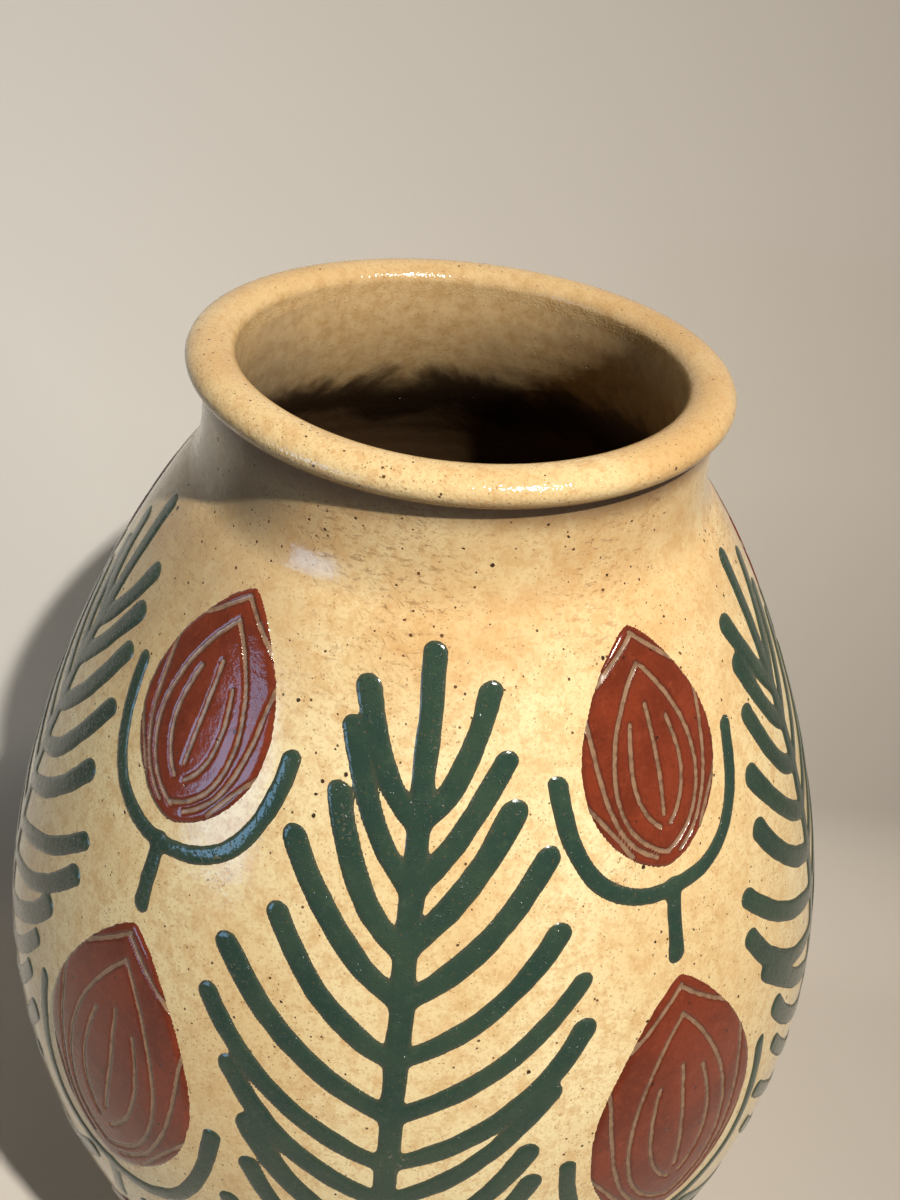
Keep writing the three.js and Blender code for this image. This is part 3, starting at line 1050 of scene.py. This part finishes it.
def calyx_strokes(seed, height, width, middle, space):
    """A short stalk and the two leaves that cup a bud."""
    hand = random.Random(seed)
    half = LEAF_WIDTH / 2
    fork = middle - height / 2 - BUD_GAP - half
    foot = middle - height / 2 - space + BUD_GAP
    out = bud_half_width(width, LEAF_TOP) + BUD_GAP + half
    strokes = [trail([(hand.uniform(-0.5, 0.5), foot + half), (0, fork)], LEAF_WIDTH, root=1.12)]
    for side in (-1, 1):
        tip_x = side * (out + hand.uniform(-0.3, 0.5))
        tip_y = middle + (LEAF_TOP - 0.5) * height + hand.uniform(-1.5, 1.0)
        bend = (side * out * 1.02, fork - hand.uniform(-0.4, 0.6))
        curve = [(0, fork), bend, (tip_x, tip_y)]
        strokes.append(trail(curve, LEAF_WIDTH, swell=hand.uniform(1.0, 1.15), root=0.95))
    return strokes


def stroke_mesh(name, strokes):
    """The strokes as strings of vertices that carry their stroke's number and half width."""
    points, number, half = [], [], []
    for i, stroke in enumerate(strokes):
        for x, y, reach in stroke:
            points.append((x * MM, y * MM, 0.0))
            number.append(i)
            half.append(reach * MM)
    values = {"stroke": ("INT", number), "half_width": ("FLOAT", half)}
    return drawn_mesh(name, points, values)


print("strokes in a frond:", len(frond_strokes(0)), "in a calyx:", len(calyx_strokes(0, *BUDS[0][1:])))

# %% Buds and the lines cut into them

EDGE_STEPS = 160


def bud_outline(height, width, middle):
    """The bud's edge against the clock from its foot, with the way out at each point."""
    levels = [i / EDGE_STEPS for i in range(EDGE_STEPS + 1)]
    right = [Vector((bud_half_width(width, v), middle + (v - 0.5) * height)) for v in levels]
    left = [Vector((-p.x, p.y)) for p in reversed(right)]
    edge = evenly([*right, *left[1:]], PEN_STEP)
    points = []
    for i, point in enumerate(edge):
        ahead = edge[(i + 1) % len(edge)] - edge[i - 1]
        out = Vector((ahead.y, -ahead.x)).normalized()
        points.append((point.x, point.y, out))
    points[0] = (0.0, middle - height / 2, Vector((0, -1)))
    return points


def bud_cuts(seed, height, width, middle):
    """Lines cut through the slip: petals that wrap each other, some past the bud's edge."""
    hand = random.Random(seed)
    foot = middle - height / 2

    def at(share, level):
        """A place by its share of the bud's half width there and of its height."""
        level += hand.uniform(-0.012, 0.012)
        return share * bud_half_width(width, level), foot + height * level

    lines = [[at(0, 0.24), at(0.04, 0.45), at(0, 0.68)]]
    for side in (-1, 1):
        lines.append([at(0, 0.07), at(side * 1.15, 0.2), at(side * 0.75, 0.62), at(0, 0.86)])
        lower = [at(side * 0.45, 0.06), at(side * 1.1, 0.2)]
        lines.append([*lower, at(side * 0.8, 0.5), at(side * 1.12, 0.72)])
        lines.append([at(side * 0.92, 0.1), at(side * 0.85, 0.2), at(side * 1.12, 0.4)])
        lines.append([at(side * 1.12, 0.78), at(side * 0.7, 0.87), at(0, 0.965)])
        lines.append([at(side * 0.1, 0.19), at(side * 0.55, 0.32), at(side * 0.3, 0.62)])
    strings = [smooth_path([Vector(c) for c in line], PEN_STEP, 50) for line in lines]
    return [(p.x, p.y) for line in strings for p in line]


def bud_mesh(name, seed, height, width, middle):
    """A bud's edge (kind 0) and its cut lines (kind 1) as vertices in one drawing."""
    edge = bud_outline(height, width, middle)
    cuts = bud_cuts(seed, height, width, middle)
    places = [(x, y) for x, y, _ in edge] + cuts
    points = [(x * MM, y * MM, 0.0) for x, y in places]
    kinds = [0] * len(edge) + [1] * len(cuts)
    mesh = drawn_mesh(name, points, {"kind": ("INT", kinds)})
    layer = mesh.attributes.new("way_out", "FLOAT_VECTOR", "POINT")
    ways = [(out.x, out.y, 0.0) for _, _, out in edge] + [(0.0, 0.0, 0.0)] * len(cuts)
    layer.data.foreach_set("vector", [number for way in ways for number in way])
    return mesh


print("vertices in the upper buds' cut lines:", len(bud_cuts(0, *BUDS[0][1:4])))

# %% [markdown]
# ## Laying the drawing on the wall
#
# Slip is soft when it goes on, so its shape is best described by depth: how far a point lies
# inside the edge of a stroke. A fine sheet gets that depth at each vertex. Strokes are taken
# one by one in a repeat zone and joined with a smooth maximum, which is what pooling looks
# like. Depth then becomes height: steep at the edge, level in the middle, and below the wall
# outside, so that the visible edge is the line where slip meets glaze. Last, the sheet is
# closed underneath and wrapped round the pot by sampling the wall's own outline.

# %% Sheets, an unsteady hand and the nearest point

SLIP_INPUTS = [
    ("Cell", "Float", 0.0005),
    ("Seed", "Float", 0.0),
    ("Column Angle", "Float", 0.0),
    ("Wall", "Object", None),
    ("Glaze", "Material", None),
]


def picked(tree, geometry, selection):
    """Only the points that are selected."""
    sockets = {"Geometry": geometry, "Selection": selection}
    return tree.node("GeometryNodeSeparateGeometry", {"domain": "POINT"}, sockets)["Selection"]


def without(tree, geometry, selection):
    """All but the points that are selected."""
    sockets = {"Geometry": geometry, "Selection": selection}
    return tree.node("GeometryNodeDeleteGeometry", {"domain": "POINT"}, sockets)["Geometry"]


def sheet_over(tree, drawing, cell, margin):
    """A flat grid that covers the drawing's bounds with a margin round it."""
    bounds = tree.node("GeometryNodeBoundBox", None, {"Geometry": drawing})
    low_x, low_y, _ = tree.xyz(bounds["Min"])
    high_x, high_y, _ = tree.xyz(bounds["Max"])
    wide = high_x - low_x + margin * 2
    tall = high_y - low_y + margin * 2
    sockets = {"Size X": wide, "Size Y": tall}
    sockets.update({"Vertices X": wide / cell + 1, "Vertices Y": tall / cell + 1})
    grid = tree.node("GeometryNodeMeshGrid", None, sockets)["Mesh"]
    middle = tree.join_xyz((low_x + high_x) / 2, (low_y + high_y) / 2)
    sockets = {"Geometry": grid, "Translation": middle}
    return tree.node("GeometryNodeTransform", None, sockets)["Geometry"]


def shaking(tree, place, scale, seed, strength):
    """A vector that points now here, now there, in patches of the scale given."""
    sockets = {"Vector": place, "W": seed, "Scale": scale, "Detail": 1.0}
    noise = tree.node("ShaderNodeTexNoise", {"noise_dimensions": "4D"}, sockets)["Color"]
    return tree.scaled(tree.vector("SUBTRACT", noise, (0.5, 0.5, 0.5))["Vector"], strength)


def hand_wobble(tree, place, wobble, seed):
    """The place at which the drawing is read: moved a little, as an unsteady hand would."""
    slow = shaking(tree, place, 45.0, seed, 2.6)
    quick = shaking(tree, place, 190.0, seed + 31.0, 0.9)
    push = tree.scaled(tree.vector("ADD", slow, quick)["Vector"], wobble)
    x, y, _ = tree.xyz(push)
    return tree.vector("ADD", place, tree.join_xyz(x, y))["Vector"]


def nearest_point(tree, drawing, place):
    """The index of the drawing's nearest vertex and the vector from the place to it."""
    sockets = {"Geometry": drawing, "Sample Position": place}
    index = tree.node("GeometryNodeSampleNearest", {"domain": "POINT"}, sockets)["Index"]
    here = tree.node("GeometryNodeInputPosition")[0]
    point = value_at(tree, drawing, here, index, PLACE_TYPE)
    return index, tree.vector("SUBTRACT", point, place)["Vector"]


print("inputs that both slip trees have:", [name for name, _, _ in SLIP_INPUTS])

# %% From depth to a body on the wall

SHEET_MARGIN = 0.0009  # metres that the sheet reaches past the slip's edge
SUNK = 0.0012  # metres that the slip's underside lies below the wall's face
DIP = 0.6  # how steeply the sheet dips under the wall outside the slip's edge


def rounded_edge(tree, edge_width):
    """The share of the edge that depth has passed, its round shoulder, and the dip outside."""
    depth = read_value(tree, "depth")
    share = tree.clip(depth / edge_width)
    shoulder = tree.math("SQRT", share * (2.0 - share))
    return share, shoulder, tree.math("MINIMUM", depth, 0.0) * DIP


def closed_body(tree, sheet, height):
    """The flat sheet as a thin closed body: a level underside and a raised top."""
    x, y, _ = tree.xyz(tree.node("GeometryNodeInputPosition")[0])
    under = put_at(tree, sheet, tree.join_xyz(x, y, -SUNK))
    sockets = {"Mesh": under, "Offset Scale": 0.0, "Individual": False}
    raised = tree.node("GeometryNodeExtrudeMesh", {"mode": "FACES"}, sockets)
    top = put_at(tree, raised["Mesh"], tree.join_xyz(x, y, height), raised["Top"])
    back = tree.node("GeometryNodeFlipFaces", None, {"Mesh": under})["Mesh"]
    join = tree.node("GeometryNodeJoinGeometry")
    for part in (back, top):
        tree.links.new(part.socket, join.node.inputs[0])
    return welded(tree, join["Geometry"])


def lay_on_wall(tree, given, sheet, height):
    """Closes the sheet, wraps it round the wall's outline and bends it with the pot."""
    sheet = without(tree, sheet, read_value(tree, "depth") < -SHEET_MARGIN)
    body = closed_body(tree, sheet, height)
    x, y, lift = tree.xyz(tree.node("GeometryNodeInputPosition")[0])
    sockets = {"Object": given["Wall"]}
    wall = tree.node("GeometryNodeObjectInfo", {"transform_space": "ORIGINAL"}, sockets)["Geometry"]
    sockets = {"Curves": wall, "Length": y + LOWER_LENGTH * MM}
    ring = tree.node("GeometryNodeSampleCurve", {"mode": "LENGTH"}, sockets)
    radius, _, level = tree.xyz(ring["Position"])
    out, _, up = tree.xyz(ring["Tangent"])
    angle = given["Column Angle"] + x / radius
    far = radius + up * lift
    forward = -(far * tree.math("COSINE", angle))
    on_wall = tree.join_xyz(far * tree.math("SINE", angle), forward, level - out * lift)
    finish_tree(tree, given, bend_by_hand(tree, put_at(tree, body, on_wall)))


print("the slip's underside lies", SUNK * 1000, "mm below the wall's face")

# %% [markdown]
# ## Trailed strokes
#
# The first of the two trees draws with the trailer. A repeat zone goes through the strokes
# by number. At each point of the sheet it asks how deep that point lies in the stroke and
# joins the answer to what was there. Melt says how softly two beads run together.

# %% The tree that trails strokes

STROKE_MARGIN = 0.004  # metres that the sheet reaches past the drawing's bounds
STROKE_REACH = 0.0046  # metres from a stroke's middle line; the sheet is cut away further out


def pooled(tree, given, sheet, read_at):
    """Takes the strokes one by one and keeps how deep in the slip each point lies."""
    start = store_value(tree, sheet, "read_at", read_at, PLACE_TYPE)
    start = store_value(tree, start, "depth", -1.0)
    first = tree.node("GeometryNodeRepeatInput")
    last = tree.node("GeometryNodeRepeatOutput")
    first.node.pair_with_output(last.node)
    tree.plug(first.node, "Iterations", given["Strokes"])
    tree.plug(first.node, "Geometry", start)
    apart = tree.math("ABSOLUTE", read_value(tree, "stroke", "INT") - first["Iteration"])
    stroke = picked(tree, given["Geometry"], apart < 0.5)
    index, away = nearest_point(tree, stroke, read_value(tree, "read_at", PLACE_TYPE))
    half = value_at(tree, stroke, read_value(tree, "half_width"), index)
    depth = half - tree.length(away)
    joined = tree.math("SMOOTH_MAX", read_value(tree, "depth"), depth, given["Melt"])
    tree.plug(last.node, "Geometry", store_value(tree, first["Geometry"], "depth", joined))
    sockets = {"Geometry": last["Geometry"], "Name": "read_at"}
    return tree.node("GeometryNodeRemoveAttribute", None, sockets)["Geometry"]


def trail_slip_tree():
    inputs = [
        ("Strokes", "Int", 1),
        ("Melt", "Float", 0.0016),
        ("Bead Height", "Float", 0.00032),
        ("Edge Width", "Float", 0.0015),
        ("Wobble", "Float", 0.0007),
    ]
    group, tree, given = new_geometry_group("Trail slip", inputs + SLIP_INPUTS)
    sheet = sheet_over(tree, given["Geometry"], given["Cell"], STROKE_MARGIN)
    place = tree.node("GeometryNodeInputPosition")[0]
    _, away = nearest_point(tree, given["Geometry"], place)
    near = without(tree, sheet, tree.length(away) > STROKE_REACH)
    read_at = hand_wobble(tree, place, given["Wobble"], given["Seed"])
    sheet = pooled(tree, given, near, read_at)
    _, shoulder, dip = rounded_edge(tree, given["Edge Width"])
    swell = 0.8 + 0.4 * tree.noise(place, 120.0, detail=2.0, seed=given["Seed"])
    height = given["Bead Height"] * shoulder * swell + dip
    lay_on_wall(tree, given, sheet, height)
    return group


TRAIL_SLIP = trail_slip_tree()
print("nodes in the tree that trails strokes:", len(TRAIL_SLIP.nodes))

# %% [markdown]
# ## Laid fields
#
# The second tree lays a bud. Here depth is the distance from the edge, and the side that a
# point is on tells inside from outside. The edge's vertices carry the way out of the bud
# for that. A second distance, to the nearest cut line, opens the grooves, and the finish
# reads it again to find them.

# %% The tree that lays fields

FIELD_MARGIN = 0.0025  # metres that the sheet reaches past the bud's bounds


def lay_field_tree():
    inputs = [
        ("Field Height", "Float", 0.0005),
        ("Edge Width", "Float", 0.0013),
        ("Cut Width", "Float", 0.001),
        ("Cut Depth", "Float", 0.00038),
        ("Wobble", "Float", 0.0004),
    ]
    group, tree, given = new_geometry_group("Lay field", inputs + SLIP_INPUTS)
    kind = read_value(tree, "kind", "INT")
    edge = picked(tree, given["Geometry"], kind < 0.5)
    cuts = picked(tree, given["Geometry"], kind > 0.5)
    sheet = sheet_over(tree, edge, given["Cell"], FIELD_MARGIN)
    place = tree.node("GeometryNodeInputPosition")[0]
    read_at = hand_wobble(tree, place, given["Wobble"], given["Seed"])
    index, away = nearest_point(tree, edge, read_at)
    way_out = value_at(tree, edge, read_value(tree, "way_out", PLACE_TYPE), index, PLACE_TYPE)
    side = tree.math("SIGN", tree.vector("DOT_PRODUCT", away, way_out)["Value"])
    marked = store_value(tree, sheet, "depth", side * tree.length(away))
    _, away = nearest_point(tree, cuts, read_at)
    marked = store_value(tree, marked, "to_cut", tree.length(away))
    share, shoulder, dip = rounded_edge(tree, given["Edge Width"])
    swell = 0.85 + 0.3 * tree.noise(place, 90.0, detail=2.0, seed=given["Seed"])
    field = given["Field Height"] * shoulder * swell
    middle = 1.0 - tree.clip(read_value(tree, "to_cut") / (given["Cut Width"] * 0.62))
    groove = given["Cut Depth"] * tree.ramp(middle, 0.0, 0.8) * share
    lay_on_wall(tree, given, marked, field - groove + dip)
    return group


LAY_FIELD = lay_field_tree()
print("nodes in the tree that lays fields:", len(LAY_FIELD.nodes))

# %% [markdown]
# ## The two slips
#
# Green comes from copper and a little iron, red-brown from iron earth. Both lie under the
# same clear glaze, so both shine like the wall. The green is darkest where it is thick and
# turns olive and brown at its thin edges. The brown is flat and dense, and its cut lines
# show the pale clay, greyed by the slip's dregs. The sheet's own depth tells the shader
# where an edge or a cut is, so colour and relief can't slip apart. A few blisters and slow
# wrinkles in the bump keep the reflections of the window from lying still.

# %% Slip finishes

THIN_FROM = 0.0007  # metres of depth under which slip is thin enough to change colour
CUT_EDGE, CUT_MIDDLE = 0.00056, 0.00036  # metres from a cut line
CUT_BAND_EDGE, CUT_BAND_FULL = 0.001, 0.00055  # the darker band beside it


def slip_noise(tree, place, clouds, grain, seed, detail=3.0, rough=0.5):
    """Three noises that a slip is coloured by: slow clouds, a grain and fine sand."""
    return (
        tree.noise(place, clouds, detail=detail, rough=rough, seed=seed + 1.0),
        tree.noise(place, grain, detail=3.0, rough=0.65, seed=seed + 2.0),
        tree.noise(place, 1500.0, detail=2.0, rough=0.6, seed=seed + 4.0),
    )


def green_slip():
    material, tree, place = new_finish("green_slip")
    depth = carried(tree, "depth")
    clouds, grain, sand = slip_noise(tree, place, 70.0, 420.0, 60.0)
    fine = specks(tree, place, 0.0011, 0.0003, 0.5, 63.0, ragged=0.6)
    thin = tree.ramp(depth + (grain - 0.5) * 0.0007, THIN_FROM, 0.0)
    base = painted(
        tree,
        tree.mix(tree.ramp(clouds, 0.35, 0.7), colour("284035"), colour("364a3a")),
        (tree.ramp(grain, 0.5, 0.8) * 0.4, "4c6047"),
        (tree.ramp(sand, 0.5, 0.7) * 0.35, "21352e"),
        (thin * 0.4, "5a4f3c"),
        (fine * 0.5, "5f5236"),
        (knocks(tree, place) * 0.6, "857a62"),
    )
    wrinkles = tree.noise(place, 620.0, detail=2.0, rough=0.55, seed=65.0)
    blisters = tree.ramp(sand, 0.56, 0.72)
    height = clouds * 0.7 + grain * 0.15 + wrinkles * 0.45 + blisters * 0.6
    roughness = 0.09 + 0.06 * tree.ramp(grain, 0.4, 0.8) + 0.08 * tree.ramp(depth, 0.001, 0.0002)
    close_finish(tree, base, roughness, bumped(tree, height, 0.0002))
    return material


def brown_slip():
    material, tree, place = new_finish("brown_slip")
    clouds, grain, sand = slip_noise(tree, place, 75.0, 500.0, 70.0, detail=4.0, rough=0.6)
    pits = specks(tree, place, 0.0028, 0.0005, 0.35, 73.0, ragged=1.0)
    thin = tree.ramp(carried(tree, "depth") + (grain - 0.5) * 0.0005, THIN_FROM, 0.0)
    ragged = carried(tree, "to_cut") + (grain - 0.5) * 0.0004
    cut = tree.ramp(ragged, CUT_EDGE, CUT_MIDDLE)
    base = painted(
        tree,
        tree.mix(tree.ramp(clouds, 0.38, 0.66), colour("80331a"), colour("6a2812")),
        (tree.ramp(grain, 0.48, 0.75) * 0.4, "96472b"),
        (tree.ramp(sand, 0.52, 0.68) * 0.4, "54200f"),
        (pits * 0.7, "33130a"),
        (thin * 0.35, "5a2a18"),
        (tree.ramp(ragged, CUT_BAND_EDGE, CUT_BAND_FULL) * 0.45, "471a0d"),
    )
    line = tree.mix(tree.ramp(grain, 0.4, 0.7), colour("9a7a5e"), colour("765c47"))
    base = tree.mix(cut * 0.92, base, line)
    height = clouds * 0.8 + grain * 0.3 + sand * 0.12 - cut * 0.4 - pits * 0.8
    roughness = 0.1 + 0.08 * tree.ramp(grain, 0.4, 0.8) + 0.16 * cut
    close_finish(tree, base, roughness, bumped(tree, height, 0.0002))
    return material


GREEN_SLIP = green_slip()
BROWN_SLIP = brown_slip()
print("nodes in the slip finishes:", len(GREEN_SLIP.node_tree.nodes), len(BROWN_SLIP.node_tree.nodes))

# %% [markdown]
# ## Five fronds, fifteen buds
#
# Each column gets its own seed, so the hand is the same but no drawing repeats. The wall's
# outline is made once, as a curve, for both trees to sample, and is taken away at the end.
# Every drawing rides on the vase and takes the place of the plain pad of the same name.

# %% Lay the ornament

FROND_SEEDS, BUD_SEEDS, CALYX_SEEDS = 100, 200, 500


def wall_curve():
    """The outline as a curve from the foot up, for the slip trees to sample."""
    data = bpy.data.curves.new("wall_outline", "CURVE")
    data.dimensions = "3D"
    spline = data.splines.new("POLY")
    spline.points.add(len(wall_path) - 1)
    for spot, point in zip(spline.points, wall_path):
        spot.co = (point.x * MM, 0.0, point.y * MM, 1.0)
    return link_object("wall_outline", data)


def lay(name, mesh, group, values):
    """Grows one piece of slip and says which node it takes the place of."""
    piece = grow("slip_" + name.replace("fern_", ""), mesh, group, values)
    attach(piece, "root")
    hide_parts(name)
    return piece


WALL_CURVE = wall_curve()
laid = []
for column in range(COLUMNS):
    frond_angle = 2 * math.pi * column / COLUMNS
    bud_angle = frond_angle + math.pi / COLUMNS
    strokes = frond_strokes(FROND_SEEDS + column)
    values = {"Strokes": len(strokes), "Seed": 10.0 + column, "Column Angle": frond_angle}
    values.update({"Wall": WALL_CURVE, "Glaze": GREEN_SLIP})
    name = f"fern_frond_{column + 1}"
    laid.append(lay(name, stroke_mesh(name, strokes), TRAIL_SLIP, values))
    for row, (label, *bud, space) in enumerate(BUDS):
        seed = BUD_SEEDS + 10 * column + row
        values = {"Seed": seed / 7, "Column Angle": bud_angle, "Wall": WALL_CURVE}
        name = f"{label}_bud_{column + 1}"
        dressed = {**values, "Glaze": BROWN_SLIP}
        laid.append(lay(name, bud_mesh(name, seed, *bud), LAY_FIELD, dressed))
        strokes = calyx_strokes(seed + CALYX_SEEDS, *bud, space)
        name = f"{label}_calyx_{column + 1}"
        values.update({"Strokes": len(strokes), "Glaze": GREEN_SLIP})
        laid.append(lay(name, stroke_mesh(name, strokes), TRAIL_SLIP, values))
bpy.data.objects.remove(WALL_CURVE)
print("slip pieces:", len(laid), "faces:", sum(len(p.data.polygons) for p in laid))
print("slip in the first frond, mm3:", round(volume_of(laid[0].data) * 1e9))

# %% [markdown]
# ## The camera
#
# The camera stands where the photographer stood: close, above the mouth and looking down,
# held a little askew. Its place, its turn and its focal length were fitted to the rim's
# ellipse and the body's outline in the picture, so they are written as plain numbers.

# %% Camera

CAMERA_OUT, CAMERA_UP = 227.4, 96.6  # millimetres from the axis, and above the mouth
LOOK_DOWN, LOOK_ASIDE, TILT = (math.radians(a) for a in (35.07, 0.55, 5.69))
SENSOR = FOCAL_LENGTH = 36.0  # in millimetres: the lens is as long as the picture is high


def place_camera():
    """Builds the camera's axes from where it looks, and turns the picture by the tilt."""
    level, drop = math.cos(LOOK_DOWN), math.sin(LOOK_DOWN)
    forward = Vector((level * math.sin(LOOK_ASIDE), level * math.cos(LOOK_ASIDE), -drop))
    level_right = forward.cross(Vector((0, 0, 1))).normalized()
    level_up = level_right.cross(forward)
    right = level_right * math.cos(TILT) + level_up * math.sin(TILT)
    up = level_up * math.cos(TILT) - level_right * math.sin(TILT)
    data = bpy.data.cameras.new("photographer")
    data.sensor_width = SENSOR
    data.lens = FOCAL_LENGTH
    data.clip_start = 0.01
    camera = link_object("photographer", data)
    turned = Matrix((right, up, -forward)).transposed().to_4x4()
    place = Vector((0, -CAMERA_OUT, MOUTH_HEIGHT + CAMERA_UP)) * MM
    camera.matrix_world = Matrix.Translation(place) @ turned
    bpy.context.scene.camera = camera
    return place


print("the camera stands at", [round(v, 3) for v in place_camera()])

# %% [markdown]
# ## Paper
#
# Pale paper lies under the vase and bends up into a wall behind it. It is a stage, so it
# may do what real paper can't: seen from behind it is clear, and far out it fades into the
# room, which lets the vase be looked at from every side. It also throws less light back on
# the glaze than it shows to the camera. Both are switched by asking what kind of ray it is.

# %% Paper sweep

PAPER_BACK, PAPER_BEND = 0.125, 0.055  # metres behind the vase's axis, and the bend's radius
PAPER_HALF, PAPER_TOP, BEND_STEPS = 1.2, 1.1, 16
PAPER_MIDDLE = 0.15  # metres up the axis: the point from which the paper fades outward
PAPER_FADES, PAPER_GONE = 0.42, 0.8  # metres from that point
BOUNCE = 0.75  # how much of its paleness the paper throws back on the vase
GLOW_BEHIND = 0.05  # stands for the light that the one-sided wall doesn't throw behind it


def paper(name, glow):
    """Pale paper with painted shade that darkens it at the right and higher up,
    and that glows a little if it is told to.
    """
    material, tree, place = new_finish(name)
    x, y, z = tree.xyz(place)
    grain = tree.noise(place, 5.0, detail=3.0, seed=51.0)
    # Painted shade: the light's falloff towards the right and the top, laid into the paper's colour.
    shade = tree.clip((x + 0.12) * 1.9 + tree.math("MAXIMUM", z - 0.2, 0.0) * 1.8)
    base = painted(
        tree,
        tree.mix(shade, colour("fffaf1"), colour("8f8479")),
        (grain * 0.1, "cfc5b8"),
        (tree.ramp(z, 0.06, 0.0) * 0.75, "c9bfb2"),
    )
    path = tree.node("ShaderNodeLightPath")
    seen = path["Is Camera Ray"] + path["Is Glossy Ray"] + path["Is Transmission Ray"]
    dimmer = tree.mix(BOUNCE, colour("000000"), base)
    sockets = {"Base Color": tree.mix(seen, dimmer, base), "Roughness": 0.9}
    sockets["Emission Color"] = tree.mix(seen, colour("000000"), colour("d8c8b4"))
    sockets["Emission Strength"] = glow
    front = tree.node("ShaderNodeBsdfPrincipled", None, sockets)
    nothing = tree.node("ShaderNodeBsdfTransparent")
    from_behind = tree.node("ShaderNodeNewGeometry")["Backfacing"]
    away = tree.length(tree.join_xyz(x, y, z - PAPER_MIDDLE))
    gone = tree.math("MAXIMUM", from_behind, tree.ramp(away, PAPER_FADES, PAPER_GONE))
    sided = tree.node("ShaderNodeMixShader", None, {0: gone, 1: front["BSDF"], 2: nothing["BSDF"]})
    tree.node("ShaderNodeOutputMaterial", None, {"Surface": sided["Shader"]})
    return material


def lay_sheet(name, line, material):
    """A sheet of paper whose side view is a line of places (y, z), laid out to both sides."""
    points = [(side * PAPER_HALF, y, z) for y, z in line for side in (-1, 1)]
    faces = [(2 * i, 2 * i + 1, 2 * i + 3, 2 * i + 2) for i in range(len(line) - 1)]
    mesh = bpy.data.meshes.new(name)
    mesh.from_pydata(points, [], faces)
    mesh.shade_smooth()
    mesh.materials.append(material)
    link_object(name, mesh)


def lay_paper():
    """A sheet that bends up into a wall behind the vase, and a floor that goes on behind it."""
    start = PAPER_BACK - PAPER_BEND
    line = [(-PAPER_HALF, 0.0), (start, 0.0)]
    for i in range(1, BEND_STEPS + 1):
        angle = math.pi / 2 * i / BEND_STEPS
        line.append((start + PAPER_BEND * math.sin(angle), PAPER_BEND * (1 - math.cos(angle))))
    line.append((PAPER_BACK, PAPER_TOP))
    lay_sheet("paper_sweep", line, paper("paper", 0.0))
    lay_sheet("paper_behind", [(start, 0.0), (PAPER_HALF, 0.0)], paper("paper_behind", GLOW_BEHIND))


lay_paper()
print("the paper's wall stands", PAPER_BACK, "m behind the axis")

# %% [markdown]
# ## Light
#
# Two lights tell on the pot. A small warm lamp hangs high at the right: it makes the bright
# roll, the row of sparkles on it and the sharp shadow. A low window at the left shows in
# the glaze as two blue panes, one over the other. Its light on the wall is far weaker than
# its reflection, so it is split in three: a weak fill without gloss, and two panes that
# only gloss shows. A dim even sky keeps the shadows open.

# %% Lights

WARM, COOL, BLUE = (1.0, 0.955, 0.885), (0.5, 0.74, 1.0), (0.33, 0.62, 1.0)
SKY, SKY_STRENGTH = (1.0, 0.96, 0.91, 1), 0.03
ROOM_IN_GLAZE = 0.3  # how much of the pale room the glaze reflects
PANE_WIDTH = 0.34
HANGS_FROM = 0.03  # metres below the mouth: the point that a lamp's distance is counted from


def add_lamp(name, azimuth, height, distance, size, power, tint, spread=180, drop=0.03, left=0.0):
    """An area lamp: its azimuth in degrees from the front to the right, and its height angle.

    It is aimed at a point on the axis a drop below the mouth, or to the left of that point."""
    turn_by, up = math.radians(azimuth), math.radians(height)
    way = Vector((math.sin(turn_by) * math.cos(up), -math.cos(turn_by) * math.cos(up), math.sin(up)))
    data = bpy.data.lights.new(name, "AREA")
    data.shape = "RECTANGLE"
    data.size, data.size_y = size
    data.energy = power
    data.color = tint
    data.spread = math.radians(spread)
    lamp = link_object(name, data)
    lamp.location = Vector((0, 0, MOUTH_HEIGHT * MM - HANGS_FROM)) + way * distance
    target = Vector((-left, 0, MOUTH_HEIGHT * MM - drop))
    lamp.rotation_euler = (target - lamp.location).to_track_quat("-Z", "Y").to_euler()
    return lamp


def hang_lamps():
    """The lamp and the window; what a lamp does not do is switched off on it."""
    key = add_lamp("key", 35, 52, 1.1, (0.03, 0.03), 3.1, WARM, spread=80, drop=0.21, left=0.08)
    fill = add_lamp("window", -55, 6, 1.0, (PANE_WIDTH, 0.18), 0.7, COOL)
    low_pane = add_lamp("window_low", -53, 0.5, 1.0, (PANE_WIDTH, 0.31), 1.9, BLUE)
    high_pane = add_lamp("window_high", -56, 12.5, 1.0, (PANE_WIDTH, 0.065), 0.4, BLUE)
    fill.visible_glossy = False
    low_pane.visible_diffuse = False
    high_pane.visible_diffuse = False
    return [key, fill, low_pane, high_pane]


def make_sky():
    """Dim light from all round, behind a pale room that camera and gloss see instead."""
    world = bpy.data.worlds.new("even_sky")
    world.use_nodes = True
    world.node_tree.nodes.clear()
    tree = Tree(world.node_tree)
    path = tree.node("ShaderNodeLightPath")
    seen = path["Is Camera Ray"] + path["Is Glossy Ray"] * ROOM_IN_GLAZE
    sky = tree.node("ShaderNodeBackground", None, {"Color": SKY, "Strength": SKY_STRENGTH})
    room = tree.node("ShaderNodeBackground", None, {"Color": colour("d9d0c4"), "Strength": 1.0})
    sockets = {0: seen, 1: sky["Background"], 2: room["Background"]}
    either = tree.node("ShaderNodeMixShader", None, sockets)
    tree.node("ShaderNodeOutputWorld", None, {"Surface": either["Shader"]})
    bpy.context.scene.world = world


make_sky()
lamps = hang_lamps()
bpy.context.scene.view_settings.view_transform = "Standard"
print("lamps and their watts:", [(lamp.name, round(lamp.data.energy, 1)) for lamp in lamps])
